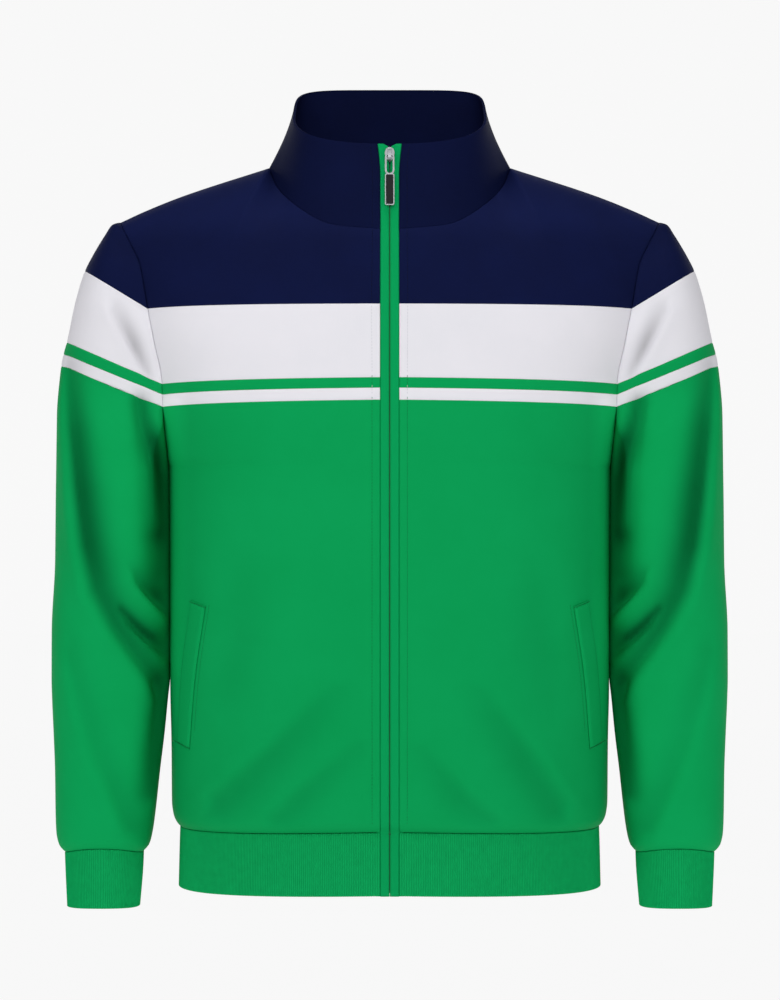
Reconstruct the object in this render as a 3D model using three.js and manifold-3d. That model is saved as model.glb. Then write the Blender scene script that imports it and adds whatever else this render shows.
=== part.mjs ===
import * as THREE from "three";
import ManifoldModule from "manifold-3d";

// Track jacket, zipped up and worn, in millimetres. Height 0 is the neck point on the shoulder ridge.
// The front faces -Y, the left of the picture is -X. Tables give one side and are mirrored.

// Cloth and seams
const clothWall = 1.5;
const ribWall = 2;
const collarWall = 2.6;
const seamGap = 0.32;
const armholeStep = 0.4;
const seamReach = 1.4;
const seamAgree = 0.3;

// Zip
const zipEdge = 8.9;
const zipEdgeTop = 11.5;
const flareStart = -18;
const flareEnd = 10.5;
const tapeWall = 1;
const tapeSink = 0.3;
const slitHalf = 0.3;
const slitHalfTop = 2.5;
const coilHalf = 2.6;
const coilWall = 1.5;
const coilTop = -9;

// Armhole seam from the shoulder tip down to the underarm, with the sleeve's outline beside each run
const underarmRun = 299.8;
const armholeRows = [
  { run: 0, x: 261, front: 0, back: 0, z: -52.6, outX: 261.4, outZ: -52.6 },
  { run: 19, x: 257, front: -17, back: 16, z: -60, outX: 268.5, outZ: -55.5 },
  { run: 46.3, x: 247, front: -35, back: 34, z: -78, outX: 275.5, outZ: -66 },
  { run: 74.4, x: 237, front: -52, back: 50, z: -98, outX: 283, outZ: -79 },
  { run: 93.6, x: 233, front: -60, back: 56, z: -115, outX: 287.8, outZ: -88 },
  { run: 121.4, x: 228, front: -66, back: 62, z: -141.7, outX: 294.5, outZ: -101.4 },
  { run: 153.6, x: 221.6, front: -70, back: 64, z: -173, outX: 303.5, outZ: -131 },
  { run: 194, x: 214.4, front: -68, back: 62, z: -212.7, outX: 312, outZ: -170 },
  { run: 204.4, x: 214.4, front: -65, back: 60, z: -222.7, outX: 315.3, outZ: -181.3 },
  { run: 216.8, x: 214.6, front: -60, back: 56, z: -234, outX: 317.6, outZ: -192.6 },
  { run: 249.6, x: 213.8, front: -41, back: 39, z: -260, outX: 320, outZ: -220 },
  { run: 280, x: 213.2, front: -18, back: 18, z: -280, outX: 321, outZ: -250 },
  { run: underarmRun, x: 213, front: 0, back: 0, z: -290, outX: 322, outZ: -280 },
];
const runs = { navy: 121.4, band: 194, green: 204.4, white: 216.8 };

// Torso sections: height at the side, rise of the section at the centre, depths, half width, turn at the edge
const hemSeam = -636;
const centreSeam = -628;
const torsoRows = [
  { z: -52, rise: 0, front: -100, back: 92, half: 213, turn: 44 },
  { z: -141.7, rise: 0.7, front: -117, back: 110, half: 213, turn: 48 },
  { z: -212.7, rise: 3.4, front: -126, back: 114, half: 213, turn: 55 },
  { z: -234, rise: 4, front: -128, back: 114, half: 213, turn: 62 },
  { z: -260, rise: 3, front: -129.5, back: 114, half: 213, turn: 75 },
  { z: -290, rise: 1, front: -131, back: 114, half: 213, turn: 90 },
  { z: -380, rise: 0, front: -134, back: 112, half: 212.5, turn: 90 },
  { z: -450, rise: 0, front: -135, back: 111, half: 212.4, turn: 90 },
  { z: -500, rise: 0, front: -135, back: 111, half: 212.2, turn: 90 },
  { z: -560, rise: 4, front: -134, back: 112, half: 211, turn: 90 },
  { z: -612, rise: 8, front: -133, back: 113, half: 210.6, turn: 90 },
  { z: -625, rise: 8, front: -130, back: 112, half: 209, turn: 90 },
  { z: -632, rise: 8, front: -125, back: 110.5, half: 206, turn: 90 },
  { z: hemSeam, rise: 8, front: -118, back: 107.5, half: 202.6, turn: 90 },
];
const hemRows = [
  { z: hemSeam, rise: 8, front: -118, back: 107.5, half: 202.6, turn: 90 },
  { z: -647, rise: 8, front: -117, back: 107, half: 203, turn: 90 },
  { z: -694, rise: 6, front: -113, back: 105, half: 204.2, turn: 90 },
];
const fullness = 0.6;
const edgeFullness = 0.7;

// Neck seam from the centre to the neck point, and the shoulder seam from there to the tip
const frontNeck = [
  { t: 0, x: zipEdge, y: -100, z: -70 },
  { t: 0.25, x: 53, y: -92.5, z: -65 },
  { t: 0.5, x: 85, y: -70, z: -47 },
  { t: 0.81, x: 109, y: -26, z: -20 },
  { t: 1, x: 117, y: 0, z: 0 },
];
const backNeck = [
  { t: 0, x: 0, y: 66, z: 5 },
  { t: 0.3, x: 45, y: 62.5, z: 5 },
  { t: 0.58, x: 83, y: 50, z: 4 },
  { t: 0.8, x: 106, y: 28, z: 2 },
  { t: 1, x: 117, y: 0, z: 0 },
];
const shoulder = [
  { t: 0, x: 117, z: 0 },
  { t: 0.58, x: 201, z: -27.2 },
  { t: 0.82, x: 236, z: -41.2 },
  { t: 1, x: 261, z: -52.6 },
];
const neckShare = 0.5;
const centreLean = { front: 62, back: 62 };
const ridgeLean = 10;
const yokePull = 0.36;
const yokeSide = 0.19;
const yokeIn = 0.22;

// Collar: top edge on a tilted plane, rounded in front and squarish behind
const collarTop = { half: 93.5, front: -88, back: 62, z: 10.5, slope: 0.505, sideAngle: 1 };
const collarSquare = { front: 2.4, back: 5.5 };
const collarEase = 1.3;

// Sleeve sections below the stripes: height at the sides, and how far a section rises in front and behind
const sleeveEnd = -660;
const sleeveRows = [
  { z: -170, rise: 0, out: 313, in: 214.8, front: -79, back: 71 },
  { z: -200, rise: 0, out: 318.4, in: 214.8, front: -79, back: 72 },
  { z: -240, rise: 0, out: 321.4, in: 214.8, front: -79, back: 71 },
  { z: -300, rise: 0, out: 321.6, in: 213.8, front: -77, back: 66 },
  { z: -380, rise: 0, out: 322.2, in: 213.3, front: -72, back: 56 },
  { z: -447, rise: 0, out: 325.4, in: 213.2, front: -67, back: 47 },
  { z: -492, rise: 0, out: 325.6, in: 213.4, front: -63, back: 41 },
  { z: -513, rise: 0, out: 325, in: 214.8, front: -61.5, back: 38 },
  { z: -547, rise: 1, out: 323.4, in: 217.4, front: -59, back: 33 },
  { z: -581, rise: 3, out: 322, in: 221.4, front: -57.5, back: 29 },
  { z: -625, rise: 6, out: 321.3, in: 226.2, front: -56, back: 26 },
  { z: -641, rise: 6, out: 320.6, in: 228.5, front: -54.5, back: 24 },
  { z: -653, rise: 6, out: 318, in: 231.5, front: -51.5, back: 21 },
  { z: sleeveEnd, rise: 6, out: 312.6, in: 237, front: -46, back: 16 },
];
const cuffRows = [
  { z: sleeveEnd, rise: 6, out: 312.6, in: 237, front: -46, back: 16 },
  { z: -672, rise: 6, out: 312.2, in: 237.4, front: -45.5, back: 15.5 },
  { z: -712.5, rise: 1, out: 310.4, in: 240.6, front: -43.5, back: 13.5 },
];
const sleeveSquare = 2.3;
const bandSpread = 140;
const settle = 150;
const capBulge = 7;

// Folds: places on the front or back as seen straight on, from one end to the other; side 0 is both
const foldRows = [
  { on: "sleeve", face: -1, side: 0, x1: 312, z1: -208, x2: 290, z2: -318, depth: 5, width: 15 },
  { on: "sleeve", face: -1, side: 0, x1: 290, z1: -318, x2: 286, z2: -376, depth: 3.5, width: 15 },
  { on: "sleeve", face: -1, side: 0, x1: 240, z1: -240, x2: 218, z2: -294, depth: 7, width: 13 },
  { on: "sleeve", face: -1, side: 0, x1: 230, z1: -396, x2: 228, z2: -424, depth: 6, width: 13 },
  { on: "sleeve", face: -1, side: 0, x1: 287, z1: -389, x2: 265, z2: -448, depth: 5, width: 14 },
  { on: "sleeve", face: -1, side: 0, x1: 265, z1: -448, x2: 240, z2: -491, depth: 5, width: 14 },
  { on: "sleeve", face: -1, side: 0, x1: 304, z1: -509, x2: 270, z2: -574, depth: 3, width: 15 },
  { on: "sleeve", face: -1, side: 0, x1: 270, z1: -574, x2: 245, z2: -622, depth: 3, width: 14 },
  { on: "sleeve", face: -1, side: 0, x1: 260, z1: -143, x2: 224, z2: -202, depth: 4.5, width: 14 },
  { on: "sleeve", face: 1, side: 0, x1: 308, z1: -230, x2: 284, z2: -330, depth: 4.5, width: 15 },
  { on: "sleeve", face: 1, side: 0, x1: 244, z1: -250, x2: 222, z2: -305, depth: 6, width: 14 },
  { on: "sleeve", face: 1, side: 0, x1: 300, z1: -402, x2: 262, z2: -452, depth: 5, width: 14 },
  { on: "sleeve", face: 1, side: 0, x1: 306, z1: -470, x2: 258, z2: -520, depth: 4, width: 15 },
  { on: "sleeve", face: 1, side: 0, x1: 296, z1: -560, x2: 256, z2: -608, depth: 3, width: 14 },
  { on: "torso", face: -1, side: -1, x1: 70, z1: -495, x2: 158, z2: -604, depth: 4, width: 18 },
  { on: "torso", face: -1, side: -1, x1: 35, z1: -560, x2: 98, z2: -618, depth: 3, width: 15 },
  { on: "torso", face: -1, side: 1, x1: 88, z1: -507, x2: 157, z2: -607, depth: 4, width: 18 },
  { on: "torso", face: -1, side: 1, x1: 34, z1: -556, x2: 92, z2: -618, depth: 3, width: 15 },
  { on: "torso", face: -1, side: 0, x1: 139, z1: -386, x2: 141, z2: -452, depth: 2.5, width: 18 },
  { on: "torso", face: 1, side: -1, x1: 40, z1: -470, x2: 150, z2: -590, depth: 4, width: 19 },
  { on: "torso", face: 1, side: 1, x1: 55, z1: -486, x2: 160, z2: -600, depth: 4, width: 19 },
  { on: "torso", face: 1, side: 0, x1: 150, z1: -250, x2: 120, z2: -350, depth: 3, width: 19 },
];
const torsoRound = { x: 213, y: 125 };
const sleeveRound = { x: 268, y: -6, halfX: 54, halfY: 70 };
const faceFrom = 0.1;
const faceFull = 0.5;
const seamCalm = 26;
const hemCalm = 28;

// Pocket welts on the lower fronts
const weltRows = [
  { z: -418.5, inner: 171, outer: 185.6 },
  { z: -486, inner: 181.4, outer: 195.6 },
  { z: -554.5, inner: 187.6, outer: 200.4 },
];
const weltWall = 1.5;
const weltTilt = 2.4;
const weltSeat = 0.5;
const weltSearch = { from: 0.4, halvings: 30 };

// Where the grids have their lines
const frontColumns = [0, 0.12, 0.24, 0.36, 0.48, 0.59, 0.69, 0.78, 0.86, 0.93, 1];
const backColumns = [0, 0.14, 0.28, 0.4, 0.5, 0.6, 0.7, 0.79, 0.87, 0.94, 1];
const frontNeckShares = [0, 0.17, 0.34, 0.51, 0.68, 0.84, 1];
const backNeckShares = [0, 0.2, 0.4, 0.6, 0.8, 1];
const shoulderColumns = [0.6, 0.7, 0.79, 0.87, 0.94, 1];
const underarmRuns = [runs.white, 234, 251, 268, 284, underarmRun];
const lowerLevels = [
  -307, -332, -358, -384, -410, -436, -462, -488, -513, -538, -563, -588, -610, -624, -632,
];
const capSteps = 8;
const capCrowd = 1.15;
const bandSteps = 4;
const sleeveSteps = 17;
const sleeveEven = 0.9;
const sleeveRim = [0.945, 0.968, 0.985, 1];
const bandAngles = [-90, -78, -66, -53, -40, -27, -13, 0, 13, 27, 40, 53, 66, 78, 90];
const collarSteps = 6;
const cuffColumns = 28;
const weltSteps = 9;

const clamp = THREE.MathUtils.clamp;
const lerp = THREE.MathUtils.lerp;
const radians = THREE.MathUtils.degToRad;
const soft = THREE.MathUtils.smoothstep;

// Value of one column of a table at a place along another, smooth and never past a row
function column(rows, along, name, at) {
  const last = rows.length - 1;
  const way = Math.sign(rows[last][along] - rows[0][along]);
  let i = 0;
  while (i < last - 1 && way * at > way * rows[i + 1][along]) {
    i += 1;
  }
  const slope = (k) => (rows[k + 1][name] - rows[k][name]) / (rows[k + 1][along] - rows[k][along]);
  const lean = (k) => {
    if (k === 0) {
      return slope(0);
    }
    if (k === last) {
      return slope(last - 1);
    }
    const before = slope(k - 1);
    const after = slope(k);
    return before * after > 0 ? (2 * before * after) / (before + after) : 0;
  };
  const span = rows[i + 1][along] - rows[i][along];
  const t = clamp((at - rows[i][along]) / span, 0, 1);
  const from = rows[i][name];
  const to = rows[i + 1][name];
  const bend = t * (1 - t) * span;
  const straight = lerp(from, to, t * t * (3 - 2 * t));
  return straight + bend * ((1 - t) * lean(i) - t * lean(i + 1));
}

function bezier(a, b, c, d, t) {
  const s = 1 - t;
  const point = a.clone().multiplyScalar(s * s * s);
  point.addScaledVector(b, 3 * s * s * t);
  point.addScaledVector(c, 3 * s * t * t);
  point.addScaledVector(d, t * t * t);
  return point;
}

function armholePoint(face, run) {
  const x = column(armholeRows, "run", "x", run);
  const y = column(armholeRows, "run", face < 0 ? "front" : "back", run);
  const z = column(armholeRows, "run", "z", run);
  return new THREE.Vector3(x, y, z);
}

// Distance to the armhole seam, which keeps folds away from it
const armholeSamples = [];
for (let run = 0; run < underarmRun; run += 10) {
  armholeSamples.push(armholePoint(-1, run), armholePoint(1, run));
}
armholeSamples.push(armholePoint(1, underarmRun));

function calm(point) {
  let nearest = Infinity;
  for (const sample of armholeSamples) {
    nearest = Math.min(nearest, sample.distanceTo(point));
  }
  return soft(nearest, 4, seamCalm);
}

// Point of one side, moved in or out by the folds that pass it
function folded(point, on, side) {
  const round = new THREE.Vector3();
  if (on === "torso") {
    round.set(point.x / torsoRound.x ** 2, point.y / torsoRound.y ** 2, 0).normalize();
  } else {
    const x = (point.x - sleeveRound.x) / sleeveRound.halfX ** 2;
    const y = (point.y - sleeveRound.y) / sleeveRound.halfY ** 2;
    round.set(x, y, 0).normalize();
  }
  let sunk = 0;
  for (const fold of foldRows) {
    if (fold.on !== on || fold.side === -side) {
      continue;
    }
    const alongX = fold.x2 - fold.x1;
    const alongZ = fold.z2 - fold.z1;
    const reach = (point.x - fold.x1) * alongX + (point.z - fold.z1) * alongZ;
    const t = clamp(reach / (alongX ** 2 + alongZ ** 2), 0, 1);
    const far = Math.hypot(point.x - fold.x1 - t * alongX, point.z - fold.z1 - t * alongZ);
    const facing = soft(fold.face * round.y, faceFrom, faceFull);
    sunk += fold.depth * facing * Math.exp(-((far / fold.width) ** 2));
  }
  const hemFade = on === "torso" ? soft(point.z, hemSeam, hemSeam + hemCalm) : 1;
  return point.clone().addScaledVector(round, -sunk * calm(point) * hemFade);
}

// Torso section: a curve from the centre to the edge. Level is a run of the armhole, or a height below it
function sectionPoint(rows, face, u, z, edge) {
  const at = (name) => column(rows, "z", name, z);
  const start = face < 0 ? zipEdge : 0;
  const middle = new THREE.Vector3(start, at(face < 0 ? "front" : "back"), z + at("rise"));
  const turn = radians(at("turn"));
  const reach = (edgeFullness * Math.abs(middle.y - edge.y)) / Math.sin(turn);
  const second = middle.clone();
  second.x += fullness * (edge.x - start);
  second.z = lerp(middle.z, edge.z, fullness / 2);
  const third = edge.clone();
  third.x -= reach * Math.cos(turn);
  third.y += face * reach * Math.sin(turn);
  third.z = lerp(middle.z, edge.z, 0.8);
  return bezier(middle, second, third, edge, u);
}

function torsoPoint(face, u, level, side) {
  let edge;
  if (level >= 0) {
    edge = armholePoint(face, level);
  } else {
    edge = new THREE.Vector3(column(torsoRows, "z", "half", level), 0, level);
  }
  return folded(sectionPoint(torsoRows, face, u, edge.z, edge), "torso", side);
}

function hemPoint(face, u, z) {
  const edge = new THREE.Vector3(column(hemRows, "z", "half", z), 0, z);
  return sectionPoint(hemRows, face, u, z, edge);
}

function neckPoint(face, t) {
  const rows = face < 0 ? frontNeck : backNeck;
  return new THREE.Vector3(column(rows, "t", "x", t), column(rows, "t", "y", t), column(rows, "t", "z", t));
}

// Yoke: a column from the navy seam up to the neck or the shoulder, drawn to the armhole at its edge
function yokeColumn(face, u, v, side) {
  const low = torsoPoint(face, u, runs.navy, side);
  let high;
  let lean = ridgeLean;
  if (u <= neckShare) {
    const t = u / neckShare;
    high = neckPoint(face, t);
    lean = lerp(face < 0 ? centreLean.front : centreLean.back, ridgeLean, t * t);
  } else {
    const t = (u - neckShare) / (1 - neckShare);
    high = new THREE.Vector3(column(shoulder, "t", "x", t), 0, column(shoulder, "t", "z", t));
  }
  const length = low.distanceTo(high) * yokePull;
  const rise = new THREE.Vector3(yokeSide * u * u, -face * yokeIn, 1).normalize();
  const over = new THREE.Vector3(0, -face * Math.cos(radians(lean)), Math.sin(radians(lean)));
  const second = low.clone().addScaledVector(rise, length);
  const third = high.clone().addScaledVector(over, -length);
  return bezier(low, second, third, high, v);
}

function yokePoint(face, u, v, side) {
  const point = yokeColumn(face, u, v, side);
  const edge = yokeColumn(face, 1, v, side);
  const seam = armholePoint(face, runs.navy * (1 - v));
  return point.addScaledVector(seam.sub(edge), soft(u, 0.4, 1));
}

// Collar, from the zip (-1) round the neck point (0) to the centre back (1)
function collarEdge(along) {
  const { half, front, back, z, slope, sideAngle } = collarTop;
  const zipAngle = Math.acos((zipEdgeTop / half) ** (collarSquare.front / 2));
  const end = along < 0 ? -zipAngle : radians(90);
  const angle = lerp(radians(sideAngle), end, Math.abs(along));
  const power = 2 / (angle < 0 ? collarSquare.front : collarSquare.back);
  const x = half * Math.max(Math.cos(angle), 0) ** power;
  const deep = Math.sign(angle) * Math.abs(Math.sin(angle)) ** power;
  const y = (front + back) / 2 + ((back - front) / 2) * deep;
  return new THREE.Vector3(x, y, z + (y - front) * slope);
}

function collarPoint(along, v) {
  const base = neckPoint(along < 0 ? -1 : 1, 1 - Math.abs(along));
  const top = collarEdge(along);
  const point = base.clone().lerp(top, 1 - (1 - v) ** collarEase);
  point.z = lerp(base.z, top.z, v);
  return point;
}

// Sleeve row over the arm, from the front of the armhole (-90) to its back (90)
function bandPoint(run, angle, side) {
  const front = armholePoint(-1, run);
  const back = armholePoint(1, run);
  front.x += armholeStep;
  back.x += armholeStep;
  const middle = front.clone().add(back).multiplyScalar(0.5);
  const outline = new THREE.Vector3(column(armholeRows, "run", "outX", run), middle.y, 0);
  outline.z = column(armholeRows, "run", "outZ", run);
  const power = 2 / sleeveSquare;
  const turn = radians(angle);
  const across = Math.max(Math.cos(turn), 0) ** power;
  const depth = Math.sign(angle) * Math.abs(Math.sin(turn)) ** power;
  const point = middle.clone().addScaledVector(outline.sub(middle), across);
  point.addScaledVector(back.sub(front), depth / 2);
  const swell = capBulge * soft(run, 0, runs.navy) * Math.sin(2 * Math.abs(turn)) ** 2;
  point.y += Math.sign(angle) * swell;
  return folded(point, "sleeve", side);
}

function tubePoint(rows, turn, z) {
  const at = (name) => column(rows, "z", name, z);
  const power = 2 / sleeveSquare;
  const round = (value) => Math.sign(value) * Math.abs(value) ** power;
  const x = (at("out") + at("in")) / 2 + ((at("out") - at("in")) / 2) * round(Math.cos(turn));
  const y = (at("front") + at("back")) / 2 + ((at("back") - at("front")) / 2) * round(Math.sin(turn));
  return new THREE.Vector3(x, y, z + at("rise") * Math.sin(turn) ** 2);
}

// Lower sleeve: the tube of the sections, led at its top into the last stripe and the underarm
function lowerSleevePoint(top, turn, v, side) {
  const z = lerp(top.z, sleeveEnd, v);
  const lead = top.clone().sub(tubePoint(sleeveRows, turn, top.z));
  const fade = 1 - soft(top.z - z, 0, settle);
  const point = tubePoint(sleeveRows, turn, z).addScaledVector(lead, fade);
  return v > 0 ? folded(point, "sleeve", side) : point;
}

function lowerSleeveRing() {
  const ring = bandAngles.map((angle) => ({ turn: radians((angle * bandSpread) / 90), angle }));
  const half = underarmRuns.length - 1;
  const rest = 360 - 2 * bandSpread;
  for (let i = 1; i < 2 * half; i += 1) {
    const face = i <= half ? 1 : -1;
    const run = underarmRuns[i <= half ? i : 2 * half - i];
    ring.push({ turn: radians(bandSpread + (rest * i) / (2 * half)), face, run });
  }
  return ring;
}

// Grids of outer points: rows of columns. The last row or column of a closed one joins its first
const pieces = [];

function addPiece(name, finish, thickness, grid, options = {}) {
  pieces.push({ name, finish, thickness, grid, hollow: new THREE.Vector3(), ...options });
}

// Edge points drawn back into the piece by half a seam gap
function drawBack(piece) {
  const { grid, closed } = piece;
  const trims = piece.trims ?? ["top", "bottom", "left", "right"];
  const rows = grid.length;
  const columns = grid[0].length;
  const pull = (point, toward) => {
    const way = toward.clone().sub(point);
    return way.setLength(Math.min(seamGap / 2, way.length() / 3));
  };
  const moves = [];
  for (let r = 0; r < rows; r += 1) {
    for (let c = 0; c < columns; c += 1) {
      const move = new THREE.Vector3();
      if (r === 0 && trims.includes("top")) {
        move.add(pull(grid[0][c], grid[1][c]));
      }
      if (r === rows - 1 && trims.includes("bottom")) {
        move.add(pull(grid[r][c], grid[r - 1][c]));
      }
      if (!closed && c === 0 && trims.includes("left")) {
        move.add(pull(grid[r][0], grid[r][1]));
      }
      if (!closed && c === columns - 1 && trims.includes("right")) {
        move.add(pull(grid[r][c], grid[r][c - 1]));
      }
      moves.push([grid[r][c], move]);
    }
  }
  for (const [point, move] of moves) {
    point.add(move);
  }
}

function findNormals(piece) {
  const { grid, closed, hollow } = piece;
  const rows = grid.length;
  const columns = grid[0].length;
  let outward = 0;
  piece.normals = grid.map((row, r) =>
    row.map((point, c) => {
      const left = closed ? (c + columns - 1) % columns : Math.max(c - 1, 0);
      const right = closed ? (c + 1) % columns : Math.min(c + 1, columns - 1);
      const across = row[right].clone().sub(row[left]);
      const down = grid[Math.min(r + 1, rows - 1)][c].clone().sub(grid[Math.max(r - 1, 0)][c]);
      const normal = across.cross(down).normalize();
      const away = point.clone().sub(hollow);
      away.z = piece.flat ? away.z : 0;
      outward += Math.sign(normal.dot(away));
      return normal;
    }),
  );
  piece.way = Math.sign(outward);
  for (const normal of piece.normals.flat()) {
    normal.multiplyScalar(piece.way);
    if (piece.level) {
      normal.setZ(0).normalize();
    }
  }
}

// Pieces that meet along a seam share the seam's normal, so their walls end side by side
function shareNormals() {
  const rims = [];
  for (const piece of pieces) {
    const rows = piece.grid.length;
    const columns = piece.grid[0].length;
    piece.grid.forEach((row, r) =>
      row.forEach((point, c) => {
        const rim = r === 0 || r === rows - 1 || (!piece.closed && (c === 0 || c === columns - 1));
        if (rim && !piece.alone) {
          rims.push({ piece, point, normal: piece.normals[r][c], shared: new THREE.Vector3() });
        }
      }),
    );
  }
  for (const rim of rims) {
    for (const other of rims) {
      if (rim.point.distanceTo(other.point) < seamReach && rim.normal.dot(other.normal) > seamAgree) {
        rim.shared.add(other.normal);
      }
    }
  }
  for (const rim of rims) {
    rim.normal.copy(rim.shared.normalize());
  }
}

function wallGeometry(piece) {
  const { grid, normals, thickness, closed, way } = piece;
  const rows = grid.length;
  const columns = grid[0].length;
  const positions = [];
  for (const depth of [0, thickness]) {
    grid.forEach((row, r) =>
      row.forEach((point, c) => {
        const moved = point.clone().addScaledVector(normals[r][c], -depth);
        positions.push(moved.x, moved.y, moved.z);
      }),
    );
  }
  const inner = rows * columns;
  const index = [];
  const quad = (a, b, c, d) => {
    const corners = way > 0 ? [a, b, c, a, c, d] : [a, c, b, a, d, c];
    index.push(...corners);
  };
  const at = (r, c) => r * columns + (c % columns);
  const spans = closed ? columns : columns - 1;
  for (let r = 0; r < rows - 1; r += 1) {
    for (let c = 0; c < spans; c += 1) {
      quad(at(r, c), at(r, c + 1), at(r + 1, c + 1), at(r + 1, c));
      quad(inner + at(r, c), inner + at(r + 1, c), inner + at(r + 1, c + 1), inner + at(r, c + 1));
    }
  }
  for (let c = 0; c < spans; c += 1) {
    quad(at(0, c), inner + at(0, c), inner + at(0, c + 1), at(0, c + 1));
    const r = rows - 1;
    quad(at(r, c), at(r, c + 1), inner + at(r, c + 1), inner + at(r, c));
  }
  if (!closed) {
    for (let r = 0; r < rows - 1; r += 1) {
      quad(at(r, 0), at(r + 1, 0), inner + at(r + 1, 0), inner + at(r, 0));
      const c = columns - 1;
      quad(at(r, c), inner + at(r, c), inner + at(r + 1, c), at(r + 1, c));
    }
  }
  const geometry = new THREE.BufferGeometry();
  geometry.setAttribute("position", new THREE.Float32BufferAttribute(positions, 3));
  geometry.setIndex(index);
  geometry.computeVertexNormals();
  return geometry;
}

const mirror = (point, side) => new THREE.Vector3(point.x * side, point.y, point.z);
const evenSteps = (count) => Array.from({ length: count + 1 }, (unused, i) => i / count);
const capShares = evenSteps(capSteps).map((t) => t ** capCrowd);

const finishes = {
  navy: new THREE.MeshStandardMaterial({ color: "#151c42", roughness: 0.78, metalness: 0 }),
  white: new THREE.MeshStandardMaterial({ color: "#e6e6ea", roughness: 0.8, metalness: 0 }),
  green: new THREE.MeshStandardMaterial({ color: "#0c9952", roughness: 0.78, metalness: 0 }),
  greenRib: new THREE.MeshStandardMaterial({ color: "#0d9350", roughness: 0.85, metalness: 0 }),
  tape: new THREE.MeshStandardMaterial({ color: "#0b9854", roughness: 0.7, metalness: 0 }),
  coil: new THREE.MeshStandardMaterial({ color: "#0d6a39", roughness: 0.5, metalness: 0 }),
  nickel: new THREE.MeshStandardMaterial({ color: "#b8bbbd", roughness: 0.28, metalness: 1 }),
  black: new THREE.MeshStandardMaterial({ color: "#232425", roughness: 0.45, metalness: 0 }),
};

// Fronts and back, in rows of the same heights
const lowerRows = [...underarmRuns, ...lowerLevels, hemSeam];
const bands = [
  { name: "band_white", finish: "white", from: runs.navy, to: runs.band, steps: bandSteps },
  { name: "stripe_green", finish: "green", from: runs.band, to: runs.green, steps: 1 },
  { name: "stripe_white", finish: "white", from: runs.green, to: runs.white, steps: 1 },
];
const sides = [
  { side: -1, letter: "L" },
  { side: 1, letter: "R" },
];
for (const { side, letter } of sides) {
  const rowsOf = (levels, place, columns = frontColumns) =>
    levels.map((level) => columns.map((u) => mirror(place(u, level), side)));
  const yokeColumns = [...frontNeckShares.map((t) => t * neckShare), ...shoulderColumns];
  const yoke = rowsOf(capShares, (u, v) => yokePoint(-1, u, 1 - v, side), yokeColumns);
  addPiece(`front_yoke_${letter}`, "navy", clothWall, yoke);
  for (const band of bands) {
    const levels = evenSteps(band.steps).map((t) => lerp(band.from, band.to, t));
    const grid = rowsOf(levels, (u, level) => torsoPoint(-1, u, level, side));
    addPiece(`front_${band.name}_${letter}`, band.finish, clothWall, grid);
  }
  const lower = rowsOf(lowerRows, (u, level) => torsoPoint(-1, u, level, side));
  addPiece(`front_lower_${letter}`, "green", clothWall, lower);
}
const wholeOf = (columns) => [...columns.map((u) => -u).reverse(), ...columns.slice(1)];
const wholeBack = wholeOf(backColumns);
const backRows = (levels, place, columns = wholeBack) =>
  levels.map((level) =>
    columns.map((u) => {
      const side = u < 0 ? -1 : 1;
      return mirror(place(Math.abs(u), level, side), side);
    }),
  );
const backYokeColumns = wholeOf([...backNeckShares.map((t) => t * neckShare), ...shoulderColumns]);
const backYoke = backRows(capShares, (u, v, side) => yokePoint(1, u, 1 - v, side), backYokeColumns);
addPiece("back_yoke", "navy", clothWall, backYoke);
for (const band of bands) {
  const levels = evenSteps(band.steps).map((t) => lerp(band.from, band.to, t));
  const grid = backRows(levels, (u, level, side) => torsoPoint(1, u, level, side));
  addPiece(`back_${band.name}`, band.finish, clothWall, grid);
}
const backLower = backRows(lowerRows, (u, level, side) => torsoPoint(1, u, level, side));
addPiece("back_lower", "green", clothWall, backLower);

// Hem rib from zip to zip
const hemLevels = [hemSeam, -647, -668, hemRows[hemRows.length - 1].z];
const hemColumns = [
  ...frontColumns.map((u) => ({ face: -1, u, side: -1 })),
  ...wholeBack.slice(1, -1).map((u) => ({ face: 1, u: Math.abs(u), side: u < 0 ? -1 : 1 })),
  ...[...frontColumns].reverse().map((u) => ({ face: -1, u, side: 1 })),
];
const hem = hemLevels.map((z) => hemColumns.map((at) => mirror(hemPoint(at.face, at.u, z), at.side)));
addPiece("hem_rib", "greenRib", ribWall, hem, { trims: ["top"], alone: true });

// Collar from zip to zip
const collarAlong = [
  ...frontNeckShares.map((t) => t - 1),
  ...[...backNeckShares].reverse().slice(1).map((t) => 1 - t),
];
const collarWay = [
  ...collarAlong.map((along) => ({ along, side: -1 })),
  ...[...collarAlong].reverse().slice(1).map((along) => ({ along, side: 1 })),
];
const collar = evenSteps(collarSteps).map((v) =>
  collarWay.map((at) => mirror(collarPoint(at.along, 1 - v), at.side)),
);
addPiece("collar", "navy", collarWall, collar, { trims: ["bottom"], alone: true, level: true });

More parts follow.
